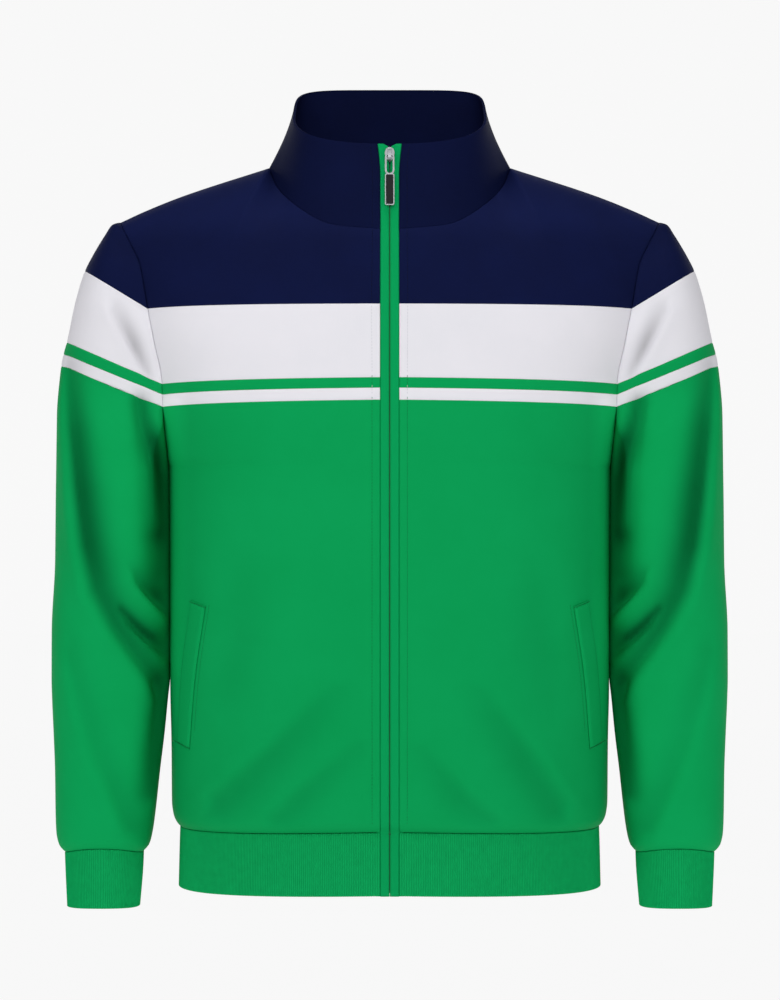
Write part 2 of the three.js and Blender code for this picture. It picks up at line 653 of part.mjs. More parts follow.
// Sleeves and cuffs
for (const { side, letter } of sides) {
  const hollow = new THREE.Vector3(side * sleeveRound.x, sleeveRound.y, 0);
  const rowsOf = (levels) =>
    levels.map((run) => bandAngles.map((angle) => mirror(bandPoint(run, angle, side), side)));
  const bandTrims = { hollow, trims: ["top", "bottom"] };
  const capRuns = capShares.map((t) => runs.navy * t);
  const capHollow = new THREE.Vector3(side * 235, 0, -140);
  const capOptions = { hollow: capHollow, flat: true, trims: ["top", "bottom"] };
  addPiece(`sleeve_cap_${letter}`, "navy", clothWall, rowsOf(capRuns), capOptions);
  for (const band of bands) {
    const levels = evenSteps(band.steps).map((t) => lerp(band.from, band.to, t));
    addPiece(`sleeve_${band.name}_${letter}`, band.finish, clothWall, rowsOf(levels), bandTrims);
  }
  const ring = lowerSleeveRing().map((spot) => {
    if (spot.run === undefined) {
      return { ...spot, top: bandPoint(runs.white, spot.angle, side) };
    }
    const top = armholePoint(spot.face, spot.run);
    top.x += armholeStep;
    return { ...spot, top };
  });
  const steps = [...evenSteps(sleeveSteps).map((t) => t * sleeveEven), ...sleeveRim];
  const lower = steps.map((v) =>
    ring.map((spot) => mirror(lowerSleevePoint(spot.top, spot.turn, v, side), side)),
  );
  addPiece(`sleeve_lower_${letter}`, "green", clothWall, lower, { hollow, closed: true });
  const turns = evenSteps(cuffColumns).slice(0, -1).map((t) => radians(360 * t));
  const levels = cuffRows.map((row) => row.z);
  const cuff = levels.map((z) => turns.map((turn) => mirror(tubePoint(cuffRows, turn, z), side)));
  const cuffOptions = { hollow, closed: true, trims: ["top"], alone: true };
  addPiece(`cuff_${letter}`, "greenRib", ribWall, cuff, cuffOptions);
}

// Pocket welts, on the points of the lower fronts
function acrossAt(x, z, side) {
  let low = weltSearch.from;
  let high = 1;
  for (let i = 0; i < weltSearch.halvings; i += 1) {
    const middle = (low + high) / 2;
    if (torsoPoint(-1, middle, z, side).x < x) {
      low = middle;
    } else {
      high = middle;
    }
  }
  return low;
}

for (const { side, letter } of sides) {
  const grid = evenSteps(weltSteps).map((t) => {
    const z = lerp(weltRows[0].z, weltRows[weltRows.length - 1].z, t);
    const inner = acrossAt(column(weltRows, "z", "inner", z), z, side);
    const outer = acrossAt(column(weltRows, "z", "outer", z), z, side);
    return evenSteps(2).map((w) => {
      const u = lerp(inner, outer, w);
      const level = z + lerp(-weltTilt, weltTilt, w);
      const point = torsoPoint(-1, u, level, side);
      const across = torsoPoint(-1, u + 0.01, level, side).sub(point);
      const up = torsoPoint(-1, u, level + 1, side).sub(point);
      const out = across.cross(up).normalize();
      return mirror(point.addScaledVector(out, weltSeat + weltWall), side);
    });
  });
  addPiece(`pocket_welt_${letter}`, "green", weltWall, grid, { trims: [], alone: true });
}

// Zip tapes and coil follow the centre front, whose rows are given by their height at the side
function centreFront(z) {
  if (z > frontNeck[0].z) {
    return lerp(frontNeck[0].y, collarTop.front, (z - frontNeck[0].z) / (collarTop.z - frontNeck[0].z));
  }
  if (z > torsoRows[1].z) {
    const v = (z - torsoRows[1].z) / (frontNeck[0].z - torsoRows[1].z);
    return yokePoint(-1, 0, v, 1).y;
  }
  const rows = z > centreSeam ? torsoRows : hemRows;
  let level = z;
  for (let i = 0; i < 4; i += 1) {
    level = z - column(rows, "z", "rise", level);
  }
  return column(rows, "z", "front", level);
}

// Point behind the line of the centre front, by a depth square to it
function zipPoint(x, z, depth) {
  const along = new THREE.Vector3(0, centreFront(z + 1) - centreFront(z - 1), 2).normalize();
  return new THREE.Vector3(x, centreFront(z) + depth * along.z, z - depth * along.y);
}

const flare = (z) => clamp((z - flareStart) / (flareEnd - flareStart), 0, 1) ** 1.5;
const zipBottom = hemRows[hemRows.length - 1].z + hemRows[hemRows.length - 1].rise;
const hemPart = [zipBottom, -664, -645, -632, -627, -622, -616, -608];
const torsoPart = [-580, -540, -490, -440, -380, -320, -260, -212, -175, -141, -125, -108, -90, -78];
const collarPart = [-70, -55, -40, -28, flareStart, -10, -3, 3, flareEnd];
const zipLevels = [...hemPart, ...torsoPart, ...collarPart];
for (const { side, letter } of sides) {
  const grid = zipLevels.map((z) => {
    const outer = lerp(zipEdge, zipEdgeTop, flare(z)) - seamGap;
    const inner = lerp(slitHalf, slitHalfTop, flare(z));
    return [inner, outer].map((x) => zipPoint(side * x, z, tapeSink));
  });
  addPiece(`zip_tape_${letter}`, "tape", tapeWall, grid, { trims: [], alone: true });
}
const coilSink = tapeSink + tapeWall + seamGap;
const coilLevels = [zipBottom + 3, ...zipLevels.slice(1).filter((z) => z < coilTop), coilTop];
const coilGrid = coilLevels.map((z) =>
  [-coilHalf, coilHalf].map((x) => zipPoint(x, z, coilSink)),
);
addPiece("zip_coil", "coil", coilWall, coilGrid, { trims: [], alone: true });

const group = new THREE.Group();
for (const piece of pieces) {
  drawBack(piece);
}
for (const piece of pieces) {
  findNormals(piece);
}
shareNormals();
for (const piece of pieces) {
  const mesh = new THREE.Mesh(wallGeometry(piece), finishes[piece.finish]);
  mesh.name = piece.name;
  group.add(mesh);
}

// Slider and pull, built upright at the origin with their front at -Y, then laid on the collar's lean
const manifold = await ManifoldModule();
manifold.setup();
const { Manifold, CrossSection } = manifold;

const slider = {
  width: 9.4,
  waist: 5.6,
  top: 6.5,
  bottom: -7,
  wing: 1.7,
  clear: 0.35,
  postWidth: 1.5,
  postTop: 5.8,
  postBottom: 2.6,
};
const crown = { width: 3.2, top: 6.4, bottom: -6.6, rise: 4.4, wall: 1.25 };
const bail = { outHalf: 4.4, wire: 1.6, top: 0.8, bottom: -20.5 };
const plate = { half: 4.35, top: -19.4, bottom: -49.5, wall: 1.9, round: 1.6, frame: 0.85, deep: 0.7 };
const inlayClear = 0.12;
const pivotRise = 1.55;
const curveSteps = 20;

// Outline in x and z, given thickness from one depth to another along y
function slab(outline, from, to) {
  const section = new CrossSection([outline]);
  const solid = Manifold.extrude(section, to - from);
  return solid.rotate([90, 0, 0]).translate([0, to, 0]);
}

function roundedBox(half, low, high, radius) {
  const outline = [];
  const corners = [
    { x: half - radius, z: low + radius, from: -90 },
    { x: half - radius, z: high - radius, from: 0 },
    { x: -half + radius, z: high - radius, from: 90 },
    { x: -half + radius, z: low + radius, from: 180 },
  ];
  const steps = 4;
  for (const corner of corners) {
    for (let i = 0; i <= steps; i += 1) {
      const angle = radians(corner.from + (90 * i) / steps);
      outline.push([corner.x + radius * Math.cos(angle), corner.z + radius * Math.sin(angle)]);
    }
  }
  return outline;
}

function sliderOutline() {
  const outline = [];
  for (let i = 0; i < curveSteps; i += 1) {
    const angle = radians((360 * i) / curveSteps);
    const up = Math.sin(angle);
    const high = up > 0 ? slider.top : -slider.bottom;
    const half = lerp(slider.waist / 2, slider.width / 2, soft(up, -1, 0.3));
    outline.push([half * Math.sign(Math.cos(angle)) * Math.abs(Math.cos(angle)) ** 0.7, high * up]);
  }
  return outline;
}

// Depths in the slider's own frame, where y 0 is the face of the tape
const wingFront = -slider.clear - slider.wing;
const backNear = tapeWall + seamGap + coilWall + slider.clear;
const pivotY = wingFront - pivotRise;

function buildSlider() {
  const outline = sliderOutline();
  const front = slab(outline, wingFront, -slider.clear);
  const behind = slab(outline, backNear, backNear + slider.wing);
  const postHalf = slider.postWidth / 2;
  const post = slab(
    [
      [-postHalf, slider.postBottom],
      [postHalf, slider.postBottom],
      [postHalf, slider.postTop],
      [-postHalf, slider.postTop],
    ],
    -slider.clear - slider.wing / 2,
    backNear + slider.wing / 2,
  );
  const arch = (rise, top, bottom) => {
    const outlineYz = [];
    const middle = (top + bottom) / 2;
    const half = (top - bottom) / 2;
    for (let i = 0; i <= curveSteps; i += 1) {
      const angle = radians((180 * i) / curveSteps);
      const square = (value) => Math.sign(value) * Math.abs(value) ** 0.6;
      const out = rise * square(Math.sin(angle)) - wingFront;
      outlineYz.push([out, middle + half * square(Math.cos(angle))]);
    }
    const deep = -(wingFront + slider.wing / 2);
    outlineYz.push([deep, bottom], [deep, top]);
    return outlineYz.map(([out, z]) => [-out, z]);
  };
  const band = (rise, top, bottom, width) => {
    const section = new CrossSection([arch(rise, top, bottom)], "NonZero");
    const solid = Manifold.extrude(section, width).rotate([90, 0, 90]);
    return solid.translate([-width / 2, 0, 0]);
  };
  const outer = band(crown.rise, crown.top, crown.bottom, crown.width);
  const { rise, top, bottom, wall, width } = crown;
  const inner = band(rise - wall, top - wall, bottom + wall, width + 1);
  const hollowOnly = inner.subtract(front);
  return front.add(behind).add(post).add(outer.subtract(hollowOnly));
}

function buildPull() {
  const half = bail.wire / 2;
  const outside = roundedBox(bail.outHalf, bail.bottom, bail.top, bail.outHalf - 0.1);
  const insideHalf = bail.outHalf - bail.wire;
  const inside = roundedBox(insideHalf, bail.bottom + bail.wire, bail.top - bail.wire, insideHalf - 0.1);
  const ring = slab(outside, pivotY - half, pivotY + half).subtract(slab(inside, pivotY - 3, pivotY + 3));
  const body = slab(
    roundedBox(plate.half, plate.bottom, plate.top, plate.round),
    pivotY - plate.wall / 2,
    pivotY + plate.wall / 2,
  );
  const frame = plate.frame;
  const pocket = slab(
    roundedBox(plate.half - frame, plate.bottom + frame, plate.top - frame, plate.round - frame / 2),
    pivotY - plate.wall,
    pivotY - plate.wall / 2 + plate.deep,
  );
  return ring.add(body).subtract(pocket);
}

function buildInlay() {
  const inset = plate.frame + inlayClear;
  return slab(
    roundedBox(plate.half - inset, plate.bottom + inset, plate.top - inset, plate.round - inset / 2),
    pivotY - plate.wall / 2 - 0.1,
    pivotY - plate.wall / 2 + plate.deep - inlayClear,
  );
}

const collarLean = Math.atan((collarTop.front - frontNeck[0].y) / (flareEnd - frontNeck[0].z));

function place(solid, name, finish) {
  const made = solid.getMesh();
  const geometry = new THREE.BufferGeometry();
  geometry.setAttribute("position", new THREE.Float32BufferAttribute(Array.from(made.vertProperties), 3));
  geometry.setIndex(Array.from(made.triVerts));
  geometry.rotateX(-collarLean);
  geometry.translate(0, centreFront(0) + tapeSink, 0);
  geometry.computeVertexNormals();
  const mesh = new THREE.Mesh(geometry, finishes[finish]);
  mesh.name = name;
  group.add(mesh);
}

place(buildSlider(), "zip_slider", "nickel");
place(buildPull(), "zip_pull", "nickel");
place(buildInlay(), "zip_pull_plate", "black");

export default group;
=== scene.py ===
import math
from functools import lru_cache

import bmesh
import bpy
from mathutils import Matrix, Vector, kdtree


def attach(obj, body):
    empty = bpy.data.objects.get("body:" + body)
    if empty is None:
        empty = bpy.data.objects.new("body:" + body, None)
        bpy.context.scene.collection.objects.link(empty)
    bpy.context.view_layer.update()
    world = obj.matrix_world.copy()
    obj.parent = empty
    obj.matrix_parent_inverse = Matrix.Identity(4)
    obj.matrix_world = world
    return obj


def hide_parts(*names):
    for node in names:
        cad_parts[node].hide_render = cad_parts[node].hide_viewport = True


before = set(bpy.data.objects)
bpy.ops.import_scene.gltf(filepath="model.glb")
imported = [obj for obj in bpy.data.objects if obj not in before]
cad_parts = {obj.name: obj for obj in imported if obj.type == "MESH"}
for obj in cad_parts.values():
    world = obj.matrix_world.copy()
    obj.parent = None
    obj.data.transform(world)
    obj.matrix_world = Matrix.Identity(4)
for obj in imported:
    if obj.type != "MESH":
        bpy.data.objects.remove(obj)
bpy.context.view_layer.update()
print("frame loaded")

mm = 0.001  # every table below is in millimetres


def table(names, *rows):  # rows under the names of their columns
    keys = names.split()
    return [dict(zip(keys, row)) for row in rows]


tables = {
    # armhole seam from the shoulder tip to the underarm, and the sleeve's outline beside each run of it
    "armhole": table(
        "run x front back z outX outZ",
        (0, 261, 0, 0, -52.6, 261.4, -52.6),
        (19, 257, -17, 16, -60, 268.5, -55.5),
        (46.3, 247, -35, 34, -78, 275.5, -66),
        (74.4, 237, -52, 50, -98, 283, -79),
        (93.6, 233, -60, 56, -115, 287.8, -88),
        (121.4, 228, -66, 62, -141.7, 294.5, -101.4),
        (153.6, 221.6, -70, 64, -173, 303.5, -131),
        (194, 214.4, -68, 62, -212.7, 312, -170),
        (204.4, 214.4, -65, 60, -222.7, 315.3, -181.3),
        (216.8, 214.6, -60, 56, -234, 317.6, -192.6),
        (249.6, 213.8, -41, 39, -260, 320, -220),
        (280, 213.2, -18, 18, -280, 321, -250),
        (299.8, 213, 0, 0, -290, 322, -280),
    ),
    "torso": table(
        "z rise front back half turn",
        (-52, 0, -100, 92, 213, 44),
        (-141.7, 0.7, -117, 110, 213, 48),
        (-212.7, 3.4, -126, 114, 213, 55),
        (-234, 4, -128, 114, 213, 62),
        (-260, 3, -129.5, 114, 213, 75),
        (-290, 1, -131, 114, 213, 90),
        (-380, 0, -134, 112, 212.5, 90),
        (-450, 0, -135, 111, 212.4, 90),
        (-500, 0, -135, 111, 212.2, 90),
        (-560, 4, -134, 112, 211, 90),
        (-612, 8, -133, 113, 210.6, 90),
        (-625, 8, -130, 112, 209, 90),
        (-632, 8, -125, 110.5, 206, 90),
        (-636, 8, -118, 107.5, 202.6, 90),
    ),
    "hem": table(
        "z rise front back half turn",
        (-636, 8, -118, 107.5, 202.6, 90),
        (-647, 8, -117, 107, 203, 90),
        (-694, 6, -113, 105, 204.2, 90),
    ),
    "frontNeck": table(
        "t x y z",
        (0, 8.9, -100, -70),
        (0.25, 53, -92.5, -65),
        (0.5, 85, -70, -47),
        (0.81, 109, -26, -20),
        (1, 117, 0, 0),
    ),
    "backNeck": table(
        "t x y z",
        (0, 0, 66, 5),
        (0.3, 45, 62.5, 5),
        (0.58, 83, 50, 4),
        (0.8, 106, 28, 2),
        (1, 117, 0, 0),
    ),
    "shoulder": table("t x z", (0, 117, 0), (0.58, 201, -27.2), (0.82, 236, -41.2), (1, 261, -52.6)),
    "sleeve": table(
        "z rise out in front back",
        (-170, 0, 313, 214.8, -79, 71),
        (-200, 0, 318.4, 214.8, -79, 72),
        (-240, 0, 321.4, 214.8, -79, 71),
        (-300, 0, 321.6, 212.9, -77, 66),
        (-380, 0, 322.2, 211.9, -72, 56),
        (-447, 0, 325.4, 211.8, -67, 47),
        (-492, 0, 325.6, 212.2, -63, 41),
        (-513, 0, 325, 214.2, -61.5, 38),
        (-547, 1, 323.4, 217.4, -59, 33),
        (-581, 3, 322, 221.4, -57.5, 29),
        (-625, 6, 321.3, 226.2, -56, 26),
        (-641, 6, 320.6, 228.5, -54.5, 24),
        (-653, 6, 318, 231.5, -51.5, 21),
        (-660, 6, 312.6, 237, -46, 16),
    ),
    "cuff": table(
        "z rise out in front back",
        (-660, 6, 312.6, 237, -46, 16),
        (-672, 6, 312.2, 237.4, -45.5, 15.5),
        (-712.5, 1, 310.4, 240.6, -43.5, 13.5),
    ),
    "welt": table("z inner outer", (-418.5, 171, 185.6), (-486, 181.4, 195.6), (-554.5, 187.6, 200.4)),
}


@lru_cache(maxsize=None)
def column(name, along, of, at):  # value of one column at a place along another, never past a row
    rows = tables[name]
    last = len(rows) - 1
    way = 1 if rows[last][along] > rows[0][along] else -1
    i = 0
    while i < last - 1 and way * at > way * rows[i + 1][along]:
        i += 1

    def slope(k):
        return (rows[k + 1][of] - rows[k][of]) / (rows[k + 1][along] - rows[k][along])

    def lean(k):
        if k in (0, last):
            return slope(min(k, last - 1))
        before, after = slope(k - 1), slope(k)
        return 2 * before * after / (before + after) if before * after > 0 else 0

    span = rows[i + 1][along] - rows[i][along]
    t = min(max((at - rows[i][along]) / span, 0), 1)
    straight = lerp(rows[i][of], rows[i + 1][of], t * t * (3 - 2 * t))
    return straight + t * (1 - t) * span * ((1 - t) * lean(i) - t * lean(i + 1))


def lerp(a, b, t):
    return a + (b - a) * t


def soft(value, low, high):
    t = min(max((value - low) / (high - low), 0), 1)
    return t * t * (3 - 2 * t)


def bezier(a, b, c, d, t):
    s = 1 - t
    return a * (s * s * s) + b * (3 * s * s * t) + c * (3 * s * t * t) + d * (t * t * t)


garment = {
    "zipEdge": 8.9,
    "zipEdgeTop": 11.5,
    "hemSeam": -636,
    "centreSeam": -628,
    "sleeveEnd": -660,
    "underarm": 299.8,
    "navyRun": 121.4,
    "bandRun": 194,
    "greenRun": 204.4,
    "whiteRun": 216.8,
    "square": 2.3,
    "cloth": 1.5,
}


def armholePoint(face, run):
    side = "front" if face < 0 else "back"
    return Vector([column("armhole", "run", of, run) for of in ("x", side, "z")])


armholeSamples = kdtree.KDTree(120)
for i in range(60):
    for k, face in enumerate((-1, 1)):
        armholeSamples.insert(armholePoint(face, garment["underarm"] * i / 59), 2 * i + k)
armholeSamples.balance()

# Folds as they show straight on from the front (-1) or back (1): rows of one fold follow each other along it.
# Side 0 is both; near and far are its steep and its gentle width, shade how dark the painted shade at its
# bottom is
folds = table(
    "fold on face side x z deep near far shade",
    ("outerValley", "sleeve", -1, 0, 308, -197, 1.5, 5, 14, 0.25),
    ("outerValley", "sleeve", -1, 0, 301, -256, 4.5, 6, 17, 0.8),
    ("outerValley", "sleeve", -1, 0, 293, -313, 5.5, 7, 20, 0.97),
    ("outerValley", "sleeve", -1, 0, 285, -365, 5.5, 8, 20, 0.95),
    ("outerValley", "sleeve", -1, 0, 274, -407, 5, 9, 19, 0.75),
    ("outerValley", "sleeve", -1, 0, 257, -440, 4.5, 8, 17, 0.7),
    ("outerValley", "sleeve", -1, 0, 236, -470, 4, 8, 15, 0.6),
    ("outerValley", "sleeve", -1, 0, 217, -500, 3, 8, 14, 0.55),
    ("underarm", "sleeve", -1, 0, 233, -230, 3, 10, 9, 0.6),
    ("underarm", "sleeve", -1, 0, 220, -264, 7, 14, 10, 1.3),
    ("underarm", "sleeve", -1, 0, 214, -294, 7, 13, 10, 1.3),
    ("underarm", "sleeve", -1, 0, 213, -350, 3, 14, 10, 0.9),
    ("elbowTop", "sleeve", -1, 0, 216, -362, 3, 13, 10, 0.55),
    ("elbowTop", "sleeve", -1, 0, 217, -390, 3, 12, 10, 0.6),
    ("elbow", "sleeve", -1, 0, 235, -399, 3, 5, 13, 0.35),
    ("elbow", "sleeve", -1, 0, 222, -414, 7, 5, 14, 0.9),
    ("elbow", "sleeve", -1, 0, 209, -427, 7, 6, 14, 1),
    ("elbowLow", "sleeve", -1, 0, 242, -438, 2, 5, 12, 0.3),
    ("elbowLow", "sleeve", -1, 0, 212, -466, 5, 6, 15, 0.75),
    ("elbowLine", "sleeve", -1, 0, 253, -425, 1.6, 3.5, 5, 0.35),
    ("elbowLine", "sleeve", -1, 0, 228, -452, 2, 3.5, 5, 0.45),
    ("inner", "sleeve", -1, 0, 213, -500, 5, 12, 9, 0.9),
    ("inner", "sleeve", -1, 0, 216, -537, 5, 12, 9, 0.85),
    ("inner", "sleeve", -1, 0, 228, -600, 1.5, 10, 8, 0.45),
    ("lowSlant", "sleeve", -1, 0, 303, -466, 1, 6, 14, 0.1),
    ("lowSlant", "sleeve", -1, 0, 291, -515, 2, 7, 17, 0.15),
    ("lowSlant", "sleeve", -1, 0, 277, -558, 2.2, 8, 18, 0.12),
    ("lowSlant", "sleeve", -1, 0, 257, -601, 2.4, 8, 16, 0.2),
    ("lowSlant", "sleeve", -1, 0, 244, -632, 1.8, 8, 13, 0.22),
    ("band", "sleeve", -1, 0, 258, -144, 2, 5, 10, 0.15),
    ("band", "sleeve", -1, 0, 239, -177, 4.5, 6, 12, 0.56),
    ("band", "sleeve", -1, 0, 223, -204, 4, 6, 12, 0.66),
    ("slantLeft", "torso", -1, -1, 52, -498, 0.8, 8, 16, 0.07),
    ("slantLeft", "torso", -1, -1, 108, -558, 3.8, 9, 22, 0.2),
    ("slantLeft", "torso", -1, -1, 160, -602, 3.8, 9, 20, 0.2),
    ("lowLeft", "torso", -1, -1, 28, -548, 0.8, 7, 13, 0.07),
    ("lowLeft", "torso", -1, -1, 82, -596, 3.1, 8, 17, 0.17),
    ("lowLeft", "torso", -1, -1, 104, -616, 2.5, 8, 15, 0.15),
    ("slantRight", "torso", -1, 1, 84, -500, 0.8, 8, 16, 0.07),
    ("slantRight", "torso", -1, 1, 124, -556, 3.8, 9, 22, 0.2),
    ("slantRight", "torso", -1, 1, 158, -606, 3.8, 9, 20, 0.2),
    ("lowRight", "torso", -1, 1, 30, -552, 0.8, 7, 13, 0.07),
    ("lowRight", "torso", -1, 1, 66, -596, 3.1, 8, 17, 0.17),
    ("lowRight", "torso", -1, 1, 94, -618, 2.5, 8, 15, 0.15),
    ("belly", "torso", -1, 0, 137, -386, 1, 18, 22, 0.03),
    ("belly", "torso", -1, 0, 143, -452, 2.5, 16, 24, 0.07),
    ("belly", "torso", -1, 0, 152, -500, 1.7, 16, 22, 0.05),
    ("backSleeve", "sleeve", 1, 0, 309, -205, 1.5, 6, 14, 0.2),
    ("backSleeve", "sleeve", 1, 0, 298, -280, 5, 7, 18, 0.6),
    ("backSleeve", "sleeve", 1, 0, 286, -350, 5, 8, 18, 0.6),
    ("backSleeve", "sleeve", 1, 0, 262, -410, 4, 8, 16, 0.5),
    ("backUnderarm", "sleeve", 1, 0, 236, -245, 3, 10, 10, 0.3),
    ("backUnderarm", "sleeve", 1, 0, 219, -285, 7, 13, 10, 0.8),
    ("backUnderarm", "sleeve", 1, 0, 214, -340, 3, 13, 10, 0.5),
    ("backElbow", "sleeve", 1, 0, 302, -420, 1.5, 6, 14, 0.2),
    ("backElbow", "sleeve", 1, 0, 262, -455, 5, 7, 15, 0.6),
    ("backElbow", "sleeve", 1, 0, 216, -476, 5, 7, 14, 0.7),
    ("backSlant", "sleeve", 1, 0, 306, -496, 1.5, 7, 15, 0.2),
    ("backSlant", "sleeve", 1, 0, 276, -546, 4, 8, 17, 0.4),
    ("backSlant", "sleeve", 1, 0, 240, -590, 3, 8, 15, 0.4),
    ("backLeft", "torso", 1, -1, 34, -470, 1, 9, 18, 0.12),
    ("backLeft", "torso", 1, -1, 100, -545, 5, 10, 22, 0.4),
    ("backLeft", "torso", 1, -1, 154, -598, 4.5, 10, 20, 0.4),
    ("backRight", "torso", 1, 1, 50, -486, 1, 9, 18, 0.12),
    ("backRight", "torso", 1, 1, 112, -556, 5, 10, 22, 0.4),
    ("backRight", "torso", 1, 1, 160, -606, 4.5, 10, 20, 0.4),
    ("shoulderBlade", "torso", 1, 0, 160, -235, 1.5, 12, 18, 0.1),
    ("shoulderBlade", "torso", 1, 0, 138, -300, 3.6, 13, 22, 0.2),
    ("shoulderBlade", "torso", 1, 0, 122, -370, 2, 13, 20, 0.12),
)


def foldParts():  # each fold's stretches between two of its rows
    for a, b in zip(folds, folds[1:]):
        if a["fold"] == b["fold"]:
            yield a, b, b["x"] - a["x"], b["z"] - a["z"]


foldSpans = {on: [part for part in foldParts() if part[0]["on"] == on] for on in ("sleeve", "torso")}


def aroundOf(point, on):
    if on == "torso":
        return Vector((point.x / 213**2, point.y / 125**2, 0)).normalized()
    return Vector(((point.x - 268) / 54**2, (point.y + 6) / 70**2, 0)).normalized()


# the second value that foldAt gives is painted shade, darkening the cloth's colour in its folds
def foldAt(point, on, side):  # how far the folds sink a point of the cloth, and how dark they are there
    around = aroundOf(point, on)
    fade = soft(point.z, garment["hemSeam"], garment["hemSeam"] + 24) if on == "torso" else 1
    fade *= soft(armholeSamples.find(point)[2], 3, 22)
    if fade == 0:
        return 0, 0
    found = {}
    for a, b, ax, az in foldSpans[on]:
        if a["side"] == -side or a["face"] * around.y < 0.05:
            continue
        px, pz = point.x - a["x"], point.z - a["z"]
        long = math.hypot(ax, az)
        t = min(max((px * ax + pz * az) / long**2, 0), 1)
        far = math.hypot(px - t * ax, pz - t * az)
        if far > 70:
            continue
        beside = (px * az - pz * ax) / long
        width = lerp(lerp(a["near"], b["near"], t), lerp(a["far"], b["far"], t), soft(beside, -3, 3))
        value = math.exp(-((far / width) ** 2))
        pastEnd = max(far - abs(beside), 0) / width
        lip = 0.3 * math.exp(-(((-beside / width) - 1.7) ** 2)) * math.exp(-(pastEnd**2))
        strength = 1.35 * lerp(a["deep"], b["deep"], t) * (value - lip)
        if value > found.get(a["fold"], (-1,))[0]:
            facing = soft(a["face"] * around.y, 0.05, 0.4)
            found[a["fold"]] = (value, strength * facing, lerp(a["shade"], b["shade"], t) * value * facing)
    sunk = sum(one[1] for one in found.values()) * fade
    return sunk, min(sum(one[2] for one in found.values()) * fade, 1)


# painted light and shade: how much darker the cloth's colour is drawn there, or lighter below 0 with painted
# light
def paintedLightAndShadeAt(point, on, side):
    # painted shade on the collar, heavier towards its back
    if on == "collar":
        return lerp(0.26, 0.42, soft(point.y, -40, 20))
    front = soft(-point.y, 0, 40)
    if on == "sleeve":
        # painted shade in the sleeve's folds, with a little painted light on the sleeve's front below the
        # stripes
        return foldAt(point, on, side)[1] - 0.09 * front * soft(-point.z, 190, 230)
    # painted light on the front beside the side seams, and on the tops of the shoulders near the neck
    paintedLight = 0.38 * soft(point.x, 183, 206) * front * soft(-point.z, 205, 240) * soft(point.z, -580, -470)
    return foldAt(point, on, side)[1] - max(paintedLight, 0.4 * soft(point.z, -85, -50))


def creased(point, on, side):
    return point - aroundOf(point, on) * foldAt(point, on, side)[0]


def sectionPoint(name, face, u, z, edge):  # a curve from the centre of the front or back to its edge
    start = garment["zipEdge"] if face < 0 else 0
    depth = column(name, "z", "front" if face < 0 else "back", z)
    middle = Vector((start, depth, z + column(name, "z", "rise", z)))
    turn = math.radians(column(name, "z", "turn", z))
    reach = 0.7 * abs(middle.y - edge.y) / math.sin(turn)
    second = Vector((middle.x + 0.6 * (edge.x - start), middle.y, lerp(middle.z, edge.z, 0.3)))
    third = Vector((edge.x - reach * math.cos(turn), edge.y + face * reach * math.sin(turn),
                    lerp(middle.z, edge.z, 0.8)))
    return bezier(middle, second, third, edge, u)


def torsoPoint(face, u, level, side):  # level is a run of the armhole, or below it a height
    edge = armholePoint(face, level) if level >= 0 else Vector((column("torso", "z", "half", level), 0,
            level))
    return creased(sectionPoint("torso", face, u, edge.z, edge), "torso", side)


def neckPoint(face, t):
    name = "frontNeck" if face < 0 else "backNeck"
    return Vector([column(name, "t", of, t) for of in "xyz"])


def yokeColumn(face, u, v, side):
    low = torsoPoint(face, u, garment["navyRun"], side)
    lean = 10
    if u <= 0.5:
        high = neckPoint(face, 2 * u)
        lean = lerp(62, 10, 4 * u * u)
    else:
        high = Vector((column("shoulder", "t", "x", 2 * u - 1), 0, column("shoulder", "t", "z", 2 * u - 1)))
    length = (high - low).length * 0.36
    rise = Vector((0.19 * u * u, -face * 0.22, 1)).normalized()
    over = Vector((0, -face * math.cos(math.radians(lean)), math.sin(math.radians(lean))))
    return bezier(low, low + rise * length, high - over * length, high, v)


def yokePoint(face, u, v, side):
    seam = armholePoint(face, garment["navyRun"] * (1 - v))
    return yokeColumn(face, u, v, side) + (seam - yokeColumn(face, 1, v, side)) * soft(u, 0.4, 1)


def rounded(value, square):
    return math.copysign(abs(value) ** (2 / square), value)


collarTop = {"half": 93.5, "front": -88, "back": 62, "z": 10.5, "slope": 0.505, "sideAngle": 1,
             "squareFront": 2.4, "squareBack": 5.5}


def collarEdge(along):  # from the zip (-1) round the neck point (0) to the centre back (1)
    half, front, back = collarTop["half"], collarTop["front"], collarTop["back"]
    zipAngle = math.acos((garment["zipEdgeTop"] / half) ** (collarTop["squareFront"] / 2))
    angle = lerp(math.radians(collarTop["sideAngle"]), -zipAngle if along < 0 else math.pi / 2, abs(along))
    square = collarTop["squareFront" if angle < 0 else "squareBack"]
    y = (front + back) / 2 + (back - front) / 2 * rounded(math.sin(angle), square)
    return Vector((half * rounded(max(math.cos(angle), 0), square), y,
                   collarTop["z"] + (y - front) * collarTop["slope"]))


def flare(z):
    return min(max((z + 18) / 28.5, 0), 1) ** 1.5


def collarPoint(along, v):
    base = neckPoint(-1 if along < 0 else 1, 1 - abs(along))
    top = collarEdge(along)
    lead = 1 - (1 - min(v, 1)) ** 1.3
    point = base.lerp(top, lead)
    point.z = lerp(base.z, top.z, v)
    # beside the zip the edge stays upright and curves out near the top
    byZip = 1 - soft(along, -1, -0.8)
    point.x += (garment["zipEdgeTop"] - garment["zipEdge"]) * (flare(point.z) - lead) * byZip
    return point


